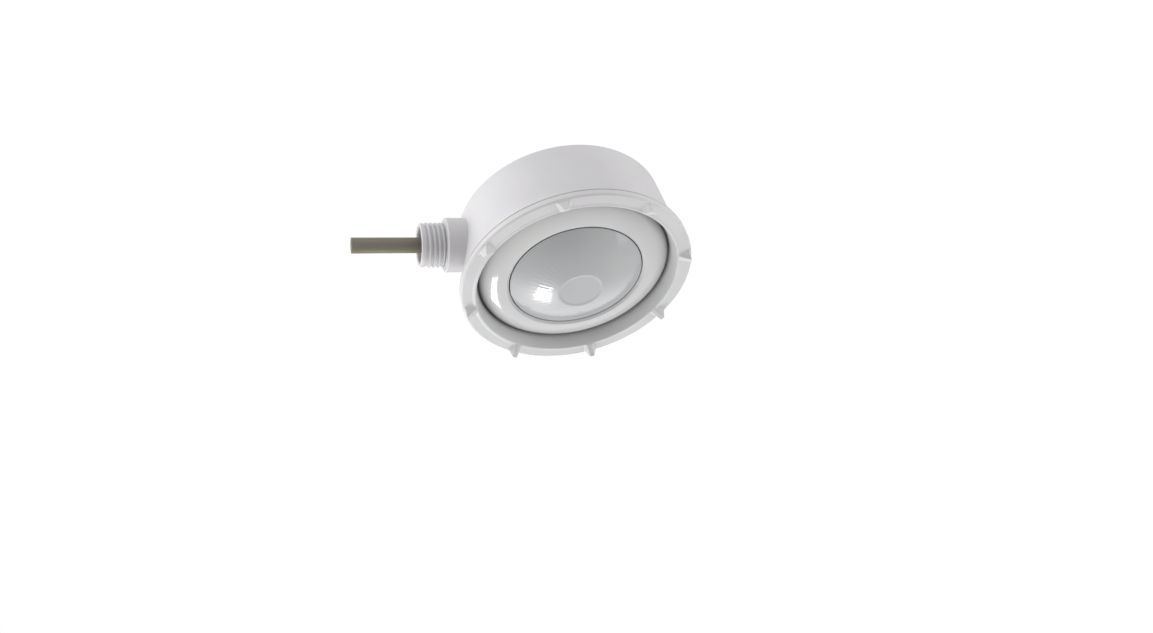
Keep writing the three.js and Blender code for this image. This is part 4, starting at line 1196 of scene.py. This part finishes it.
def build_envelope():
    """The capsule's quartz tube, closed by a dome with a sealed tip."""
    inside = BULB_RADIUS - 0.8
    dome = BULB_TIP - BULB_RADIUS
    outer = [(BULB_RADIUS, BULB_REAR, 0.3)] + arc((0, dome), (BULB_RADIUS, BULB_RADIUS - 0.25), 0, 76, 18)
    tip = [(0.9, BULB_TIP - 0.15, 0.4), (0.35, BULB_TIP, 0.2), (0, BULB_TIP)]
    inner = arc((0, dome), (inside, inside), 90, 0, 18) + [(inside, BULB_REAR, 0.2)]
    outline = rounded([(inside, BULB_REAR)] + outer + tip, closed=False) + [Vector(p[:2]) for p in inner[:-1]]
    turn_node("bulb_envelope", outline, 64)


def build_pinch():
    high = size_of("bulb_pinch")[1]
    flat_front = 20.5
    plug_front = 22.5
    pin_hole_rear = 12.7
    pin_hole_front = 15.7
    flat = block("pinch", (-high.x, high.x), (-high.y, flat_front), high.z, 0.7)
    plug = rod("plug", BULB_RADIUS - 1.2, flat_front - 0.8, plug_front, 0, 0, 0.5)
    pin_holes = [
        rod("hole", 0.8, pin_hole_rear, pin_hole_front, 0, side * PIN_SPACING / 2, 0, 32)
        for side in SIDES
    ]
    stand_for(softened(cut(join(flat, [plug]), pin_holes), 0.1), "bulb_pinch")


def build_filament():
    """A small coil across the lamp's axis, on two straight legs."""
    coil_radius = 0.9
    turns = 4
    half_length = 1.8
    leg_end = 23.0
    per_turn = 12
    points = [at(0, leg_end, -half_length), at(0, leg_end + 4, -half_length)]
    for i in range(turns * per_turn + 1):
        angle = 2 * math.pi * i / per_turn
        z = -half_length + 2 * half_length * i / (turns * per_turn)
        forward = FILAMENT_FORWARD - coil_radius * math.cos(angle)
        points.append(at(-coil_radius * math.sin(angle), forward, z))
    points += [at(0, leg_end + 4, half_length), at(0, leg_end, half_length)]
    stand_for(wire("filament", points, 0.12, 12, 4), "bulb_filament")


def build_bulb_pins():
    for i in (1, 2):
        low, high = size_of(f"bulb_pin_{i}")
        radius = (high.x - low.x) / 2
        pin = rod("pin", radius, -high.y, -low.y, 0, (low.z + high.z) / 2, 0.22, 32)
        stand_for(pin, f"bulb_pin_{i}")


# ---------- screws ----------


def screw_template(head_radius, length, head_height):
    """A pan-head screw along -Y from y = 0, its head at the far end, with a cross recess."""
    shank = 1.2
    root = 0.95
    pitch = 0.8
    seat = length - head_height
    outline = rounded([
        (0, 0),
        (0.6, 0, 0.1),
        (root, 0.6, 0.1),
        (root, seat - 0.5, 0.1),
        (shank, seat - 0.3, 0.1),
        (shank, seat),
        (head_radius, seat, 0.15),
    ], closed=False)
    outline = refined(outline, 0.1, lambda p: p.x == root, False)
    outline += arc((0, seat + 0.3 * head_height), (head_radius, 0.7 * head_height), 0, 90, 12)

    def shape(radius, height, angle):
        if radius > root + 0.01 or not 0.6 < height < seat - 0.5:
            return radius, height
        turns = height / pitch - angle / (2 * math.pi)
        return radius + (shank - root) * thread(height, turns, 0.5, seat - 0.5, 0.4), height

    body = turned("screw", outline, 40, closed=False, shape=shape)
    arm = 0.6 * head_radius
    tools = []
    for turn in (0, 90):
        tool = block("arm", (-arm, arm), (length - 0.55 * head_height, length + 1), 0.17 * head_radius, 0.08)
        tool.data.transform(Matrix.Rotation(math.radians(turn), 4, "Y"))
        tools.append(tool)
    return cut(body, tools)


templates = {}


def build_screw(node, facing=-1):
    """A screw in its node's place; its head faces towards -Y, or +Y when facing is 1."""
    low, high = size_of(node)
    head_radius = (high.x - low.x) / 2
    length = high.y - low.y
    key = (round(head_radius, 2), round(length, 2))
    if key not in templates:
        templates[key] = screw_template(head_radius, length, 0.7 * head_radius)
    piece = new_object(node, templates[key].data.copy())
    middle = (low + high) / 2
    if facing < 0:
        move = Matrix.Translation(Vector((middle.x, high.y, middle.z)) * MM)
    else:
        turn = Matrix.Rotation(math.pi, 4, "X")
        move = Matrix.Translation(Vector((middle.x, low.y, middle.z)) * MM) @ turn
    piece.data.transform(move)
    stand_for(finish_mesh(piece), node)


def build_screws():
    for i in (1, 2, 3):
        build_screw(f"reflector_screw_{i}")
    for i in (1, 2):
        build_screw(f"holder_screw_{i}")
        build_screw(f"clamp_screw_{i}")
    build_screw("block_screw")
    for i in (1, 2, 3, 4):
        build_screw(f"retainer_screw_{i}", facing=1)
    for template in templates.values():
        bpy.data.objects.remove(template)


def build_terminal_screws():
    """Headless screws with a slot, one over each wire."""
    for i in (1, 2, 3, 4):
        node = f"terminal_screw_{i}"
        low, high = size_of(node)
        middle = (low + high) / 2
        radius = (high.x - low.x) / 2
        grub = rod("grub", radius, -high.y, -low.y, middle.x, middle.z, 0.2, 48)
        slot_tool = block("slot", (middle.x - 0.3, middle.x + 0.3), (-low.y - 0.8, -low.y + 1), 4, 0)
        stand_for(softened(cut(grub, [moved(slot_tool, z=middle.z)]), 0.06, 2), node)


# ---------- cable, wiring and gland ----------


def build_cable():
    outline = rounded([
        (0, CABLE_INNER_END),
        (CABLE_RADIUS, CABLE_INNER_END, 0.25),
        (CABLE_RADIUS, CABLE_OUTER_END, 0.25),
        (0, CABLE_OUTER_END),
    ], closed=False)
    outline = refined(outline, 2.0, lambda p: p.x == CABLE_RADIUS, False)

    def shape(radius, height, angle):
        if radius < CABLE_RADIUS - 0.01:
            return radius, height
        return radius - 0.035 * (0.5 + 0.5 * math.cos(24 * angle)), height

    sheath = turned("sheath", outline, 192, on_nipple_axis, closed=False, shape=shape)
    ends = (CABLE_INNER_END - 3, CABLE_OUTER_END + 3)
    bores = [
        cross_rod("bore", CORE_RADIUS + GAP, *ends, HUB_FORWARD, side * CORE_OFFSET)
        for side in SIDES
    ]
    stand_for(cut(sheath, bores), "cable_sheath")


def build_cores():
    strand = 0.27
    for i, side in enumerate(SIDES, 1):
        z = side * CORE_OFFSET
        straight = [CABLE_OUTER_END - 0.25, 110, 90, 70, 56, 52.5, CABLE_INNER_END]
        points = [at(outward, HUB_FORWARD, z) for outward in straight]
        points.append(at(BLOCK_OUTER_END + 1.2, TERMINAL_FORWARD, side * POLE_OFFSET))
        points.append(at(BLOCK_OUTER_END - 3, TERMINAL_FORWARD, side * POLE_OFFSET))
        stand_for(wire("core", points, CORE_RADIUS, 24), f"cable_core_{i}")
        strands = []
        for k in range(7):
            turn = 2 * math.pi * k / 6
            spread = 0 if k == 6 else 2.1 * strand
            forward = HUB_FORWARD + spread * math.cos(turn)
            strand_z = z + spread * math.sin(turn)
            end = CABLE_OUTER_END - 0.02
            strands.append(cross_rod("strand", strand, end - 0.6, end, forward, strand_z, 16))
        add_to(gathered("strands", strands), "cable_sheath", f"core_strands_{i}", "brass", copper)


def build_leads():
    holder_forward = HOLDER_REAR + 3
    for i, side in enumerate(SIDES, 1):
        pole = side * POLE_OFFSET
        pin = side * PIN_SPACING / 2
        points = [
            at(BLOCK_INNER_END + 3, TERMINAL_FORWARD, pole),
            at(BLOCK_INNER_END - 1, TERMINAL_FORWARD, pole),
            at(20, holder_forward + 1, side * 4),
            at(12, holder_forward, pin),
            at(7, holder_forward, pin),
        ]
        stand_for(wire("lead", points, 1.1, 24), f"lamp_lead_{i}")


def build_terminal_block():
    middle = (BLOCK_OUTER_END + BLOCK_INNER_END) / 2
    x_ends = (-BLOCK_OUTER_END, -BLOCK_INNER_END)
    body = block("terminals", x_ends, (BLOCK_REAR, BLOCK_FRONT), 8.5, 0.7)
    tools = [block("groove", (x_ends[0] - 1, x_ends[1] + 1), (BLOCK_FRONT - 3, BLOCK_FRONT + 1), 1.2, 0.3)]
    for side in SIDES:
        z = side * POLE_OFFSET
        ends = (BLOCK_INNER_END - 3, BLOCK_OUTER_END + 3)
        tools.append(cross_rod("wire_hole", CORE_RADIUS + GAP, *ends, TERMINAL_FORWARD, z))
        for spread in (-3.5, 3.5):
            tools.append(rod("well", 1.9, TERMINAL_FORWARD, BLOCK_FRONT + 1, -middle + spread, z, 0))
    tools.append(rod("hole", SCREW_HOLE, BLOCK_REAR - 1, BLOCK_FRONT, -middle, 0, 0))
    tools.append(rod("head_well", 2.3, BLOCK_REAR + 2.5, BLOCK_FRONT, -middle, 0, 0))
    stand_for(softened(cut(body, tools), 0.12, 2), "terminal_block")


def build_clamp():
    """The saddle over the cable, with a foot on each side for its screw."""
    sheet = 1.8
    inner = CABLE_RADIUS + GAP
    outer = inner + sheet
    foot_end = CLAMP_SCREW_OFFSET + 3
    rear = CLAMP_SEAT + GAP
    front = rear + sheet
    foot_angle = math.degrees(math.asin((front - HUB_FORWARD) / outer))
    outline = [(foot_end, rear), (foot_end, front)]
    outline += arc((0, HUB_FORWARD), (outer, outer), foot_angle, 90, 16)
    outline += [(-z, f) for z, f in arc((0, HUB_FORWARD), (outer, outer), 90, foot_angle, 16)[1:]]
    outline += [(-foot_end, front), (-foot_end, rear), (-inner, rear)]
    outline += [(-z, f) for z, f in arc((0, HUB_FORWARD), (inner, inner), 0, 90, 16)]
    outline += arc((0, HUB_FORWARD), (inner, inner), 90, 0, 16)[1:]
    outline += [(inner, rear)]
    start = -CLAMP_OUTWARD - CLAMP_HALF_WIDTH
    width = 2 * CLAMP_HALF_WIDTH
    saddle = prism("saddle", outline, width, lambda z, f, along: Vector((start + along, -f, z)) * MM)
    holes = screw_holes(CLAMP_SCREWS, rear - 1, front + 1)
    stand_for(softened(cut(saddle, holes), 0.2), "cable_clamp")


def build_gland_bush():
    """The rubber bush that grips the cable."""
    low, high = size_of("gland_bush")
    bore = CABLE_RADIUS + GAP
    outer = (high.z - low.z) / 2
    rear = -high.x
    front = -low.x
    waist = outer - 0.5
    outline = rounded([
        (bore, rear, 0.3),
        (outer - 1.5, rear, 0.3),
        (outer, rear + 2, 0.6),
        (outer, rear + 3.6, 0.2),
        (waist, rear + 4.0, 0.2),
        (waist, rear + 5.6, 0.2),
        (outer, rear + 6.0, 0.2),
        (outer, front, 0.5),
        (bore, front, 0.3),
    ])
    turn_node("gland_bush", outline, 128, to_point=on_nipple_axis)


def build_gland_washer():
    low, high = size_of("gland_washer")
    outer = (high.z - low.z) / 2
    outline = band(CABLE_RADIUS + 0.6, outer, -high.x, -low.x, 0.2, 0.2, 0.3, 0.2)
    turn_node("gland_washer", outline, 128, to_point=on_nipple_axis)


def build_gland_nut():
    """The compression nut: threaded outside, with a hexagon socket in its outer end."""
    bore = CABLE_RADIUS + 0.6
    flats = 7.0
    depth = 3.4
    crest = NUT_RADIUS
    floor = NUT_END - depth
    thread_rear = NUT_REAR + 0.4
    thread_front = NUT_END - 0.4
    outline = rounded([
        (bore, NUT_REAR, 0.3),
        (crest - 0.4, NUT_REAR, 0.2),
        (crest - 0.02, thread_rear, 0.1),
        (crest - 0.02, thread_front, 0.1),
        (crest - 0.4, NUT_END, 0.2),
        (flats + 0.4, NUT_END, 0.2),
        (flats, NUT_END - 0.4, 0.1),
        (flats, floor, 0.1),
        (bore, floor, 0.3),
    ])
    outline = refined(outline, 0.14, lambda p: p.x == crest - 0.02)

    def shape(radius, height, angle):
        if radius > crest - 0.5 and thread_rear < height < thread_front:
            turns = height / GLAND_PITCH + angle / (2 * math.pi) + 0.5
            return radius - 0.35 * thread(height, turns, thread_rear, thread_front, 0.3, 0.16, 0.4), height
        if height > floor - 0.2 and flats - 0.3 < radius < flats + 0.7:
            sixth = math.pi / 3
            away = (angle + sixth / 2) % sixth - sixth / 2
            return radius / math.cos(away), height
        return radius, height

    turn_node("gland_nut", outline, 192, to_point=on_nipple_axis, shape=shape)


for build in (
    build_pot, build_trim_ring, build_slip_ring, build_bezel, build_lens, build_lens_gasket,
    build_pot_gasket, build_retainer, build_reflector, build_holder, build_clip, build_envelope,
    build_pinch, build_filament, build_bulb_pins, build_screws, build_terminal_screws, build_cable,
    build_cores, build_leads, build_terminal_block, build_clamp, build_gland_bush,
    build_gland_washer, build_gland_nut,
):
    build()

# ---------- floor, light and camera ----------

azimuth = math.radians(-27.33)
elevation = math.radians(46.21)
roll = math.radians(-18.72)
distance = 0.545
aim = Vector((-0.0018, -0.0640, -0.0130))

backwards = Vector((
    math.sin(azimuth) * math.cos(elevation),
    -math.cos(azimuth) * math.cos(elevation),
    math.sin(elevation),
))
level_right = Vector((0, 0, 1)).cross(backwards).normalized()
level_up = backwards.cross(level_right)
image_up = math.cos(roll) * level_up + math.sin(roll) * level_right
image_right = image_up.cross(backwards)


def build_camera():
    view = bpy.data.cameras.new("camera")
    view.lens = 28.73
    view.sensor_width = 36
    view.clip_start = 0.01
    camera = bpy.data.objects.new("camera", view)
    turn = Matrix((image_right, image_up, backwards)).transposed().to_4x4()
    camera.matrix_world = Matrix.Translation(aim + distance * backwards) @ turn
    bpy.context.scene.collection.objects.link(camera)
    bpy.context.scene.camera = camera


def build_floor():
    """A wide white floor that glows evenly and is only seen from above."""
    work = bmesh.new()
    bmesh.ops.create_grid(work, x_segments=8, y_segments=8, size=6.0)
    floor = from_bmesh("floor", work)
    floor.location.z = ring_low.z * MM - 0.0003
    look = Finish("white_floor", {"Roughness": 0.22})
    mottle = look.noise(60, 3)
    look.use("Base Color", look.blend(look.span(mottle, 0, 1), tone(250, 250, 250), tone(255, 255, 255)))
    glow = look.node("ShaderNodeEmission", {"Color": (1, 1, 1, 1), "Strength": 1.02})
    clear = look.node("ShaderNodeBsdfTransparent")
    lit = look.node("ShaderNodeMixShader", {0: 0.93, 1: look.shader.outputs[0], 2: glow.outputs[0]})
    below = look.node("ShaderNodeNewGeometry").outputs["Backfacing"]
    both = look.node("ShaderNodeMixShader", {0: below, 1: lit.outputs[0], 2: clear.outputs[0]})
    output = look.tree.nodes["Material Output"]
    look.tree.links.new(both.outputs[0], output.inputs["Surface"])
    floor.data.materials.append(look.material)
    floor.visible_diffuse = False
    floor.visible_glossy = False
    floor.visible_transmission = False
    floor.visible_shadow = False


def build_world():
    """White to the camera.

    For the lamp it is brighter at the sides and above, and dimmer in front and behind. The lamp's
    reflections also see a bright table below its front.
    """
    world = bpy.data.worlds.new("studio")
    world.use_nodes = True
    bpy.context.scene.world = world
    tree = world.node_tree
    direction = add_node(tree, "ShaderNodeTexCoord").outputs["Generated"]

    def along(vector):
        inputs = {0: direction, 1: vector}
        return add_node(tree, "ShaderNodeVectorMath", inputs, operation="DOT_PRODUCT").outputs["Value"]

    def combined(operation, first, second):
        return add_node(tree, "ShaderNodeMath", {0: first, 1: second}, operation=operation).outputs[0]

    def squared(value, factor):
        return combined("MULTIPLY", combined("MULTIPLY", value, value), factor)

    def ramp(value, low, high):
        inputs = {"Value": value, "From Min": low, "From Max": high}
        return add_node(tree, "ShaderNodeMapRange", inputs, interpolation_type="SMOOTHSTEP").outputs["Result"]

    side = squared(combined("SUBTRACT", along(image_right), 0.18), 0.8)
    height = combined("MULTIPLY", along(image_up), 0.12)
    front = squared(along(backwards), -0.6)
    total = combined("ADD", combined("ADD", side, height), combined("ADD", front, 0.79))
    rays = add_node(tree, "ShaderNodeLightPath").outputs
    below = ramp(along((0, 0, -1)), 0.50, 0.85)
    ahead = ramp(along((0, -1, 0)), -0.30, 0.15)
    table = combined("MULTIPLY", combined("MULTIPLY", below, ahead), 0.95)
    total = combined("ADD", total, combined("MULTIPLY", table, rays["Is Glossy Ray"]))
    mix = add_node(tree, "ShaderNodeMix", {0: rays["Is Camera Ray"], 2: total, 3: 1.02})
    background = tree.nodes["Background"]
    tree.links.new(mix.outputs[0], background.inputs["Strength"])
    background.inputs["Color"].default_value = (1.0, 0.995, 1.0, 1.0)


def soft_box(name, direction, reach, width, height, watts):
    """A rectangular soft light at a distance from the aim, facing it."""
    light = bpy.data.lights.new(name, "AREA")
    light.shape = "RECTANGLE"
    light.size = width
    light.size_y = height
    light.energy = watts
    lamp = bpy.data.objects.new(name, light)
    towards = Vector(direction).normalized()
    turn = towards.to_track_quat("Z", "Y").to_matrix().to_4x4()
    lamp.matrix_world = Matrix.Translation(aim + reach * towards) @ turn
    lamp.visible_camera = False
    bpy.context.scene.collection.objects.link(lamp)


def build_lights():
    forwards = 0.2 * backwards
    soft_box("low_light", (-0.13, -0.58, -0.81), reach=1.3, width=0.24, height=0.40, watts=5.4)
    soft_box("left_light", forwards - image_right, reach=1.2, width=0.9, height=0.9, watts=2.2)
    soft_box("right_light", forwards + image_right, reach=1.2, width=0.9, height=0.9, watts=2.8)


build_camera()
build_floor()
build_world()
build_lights()
bpy.context.scene.view_settings.view_transform = "Standard"
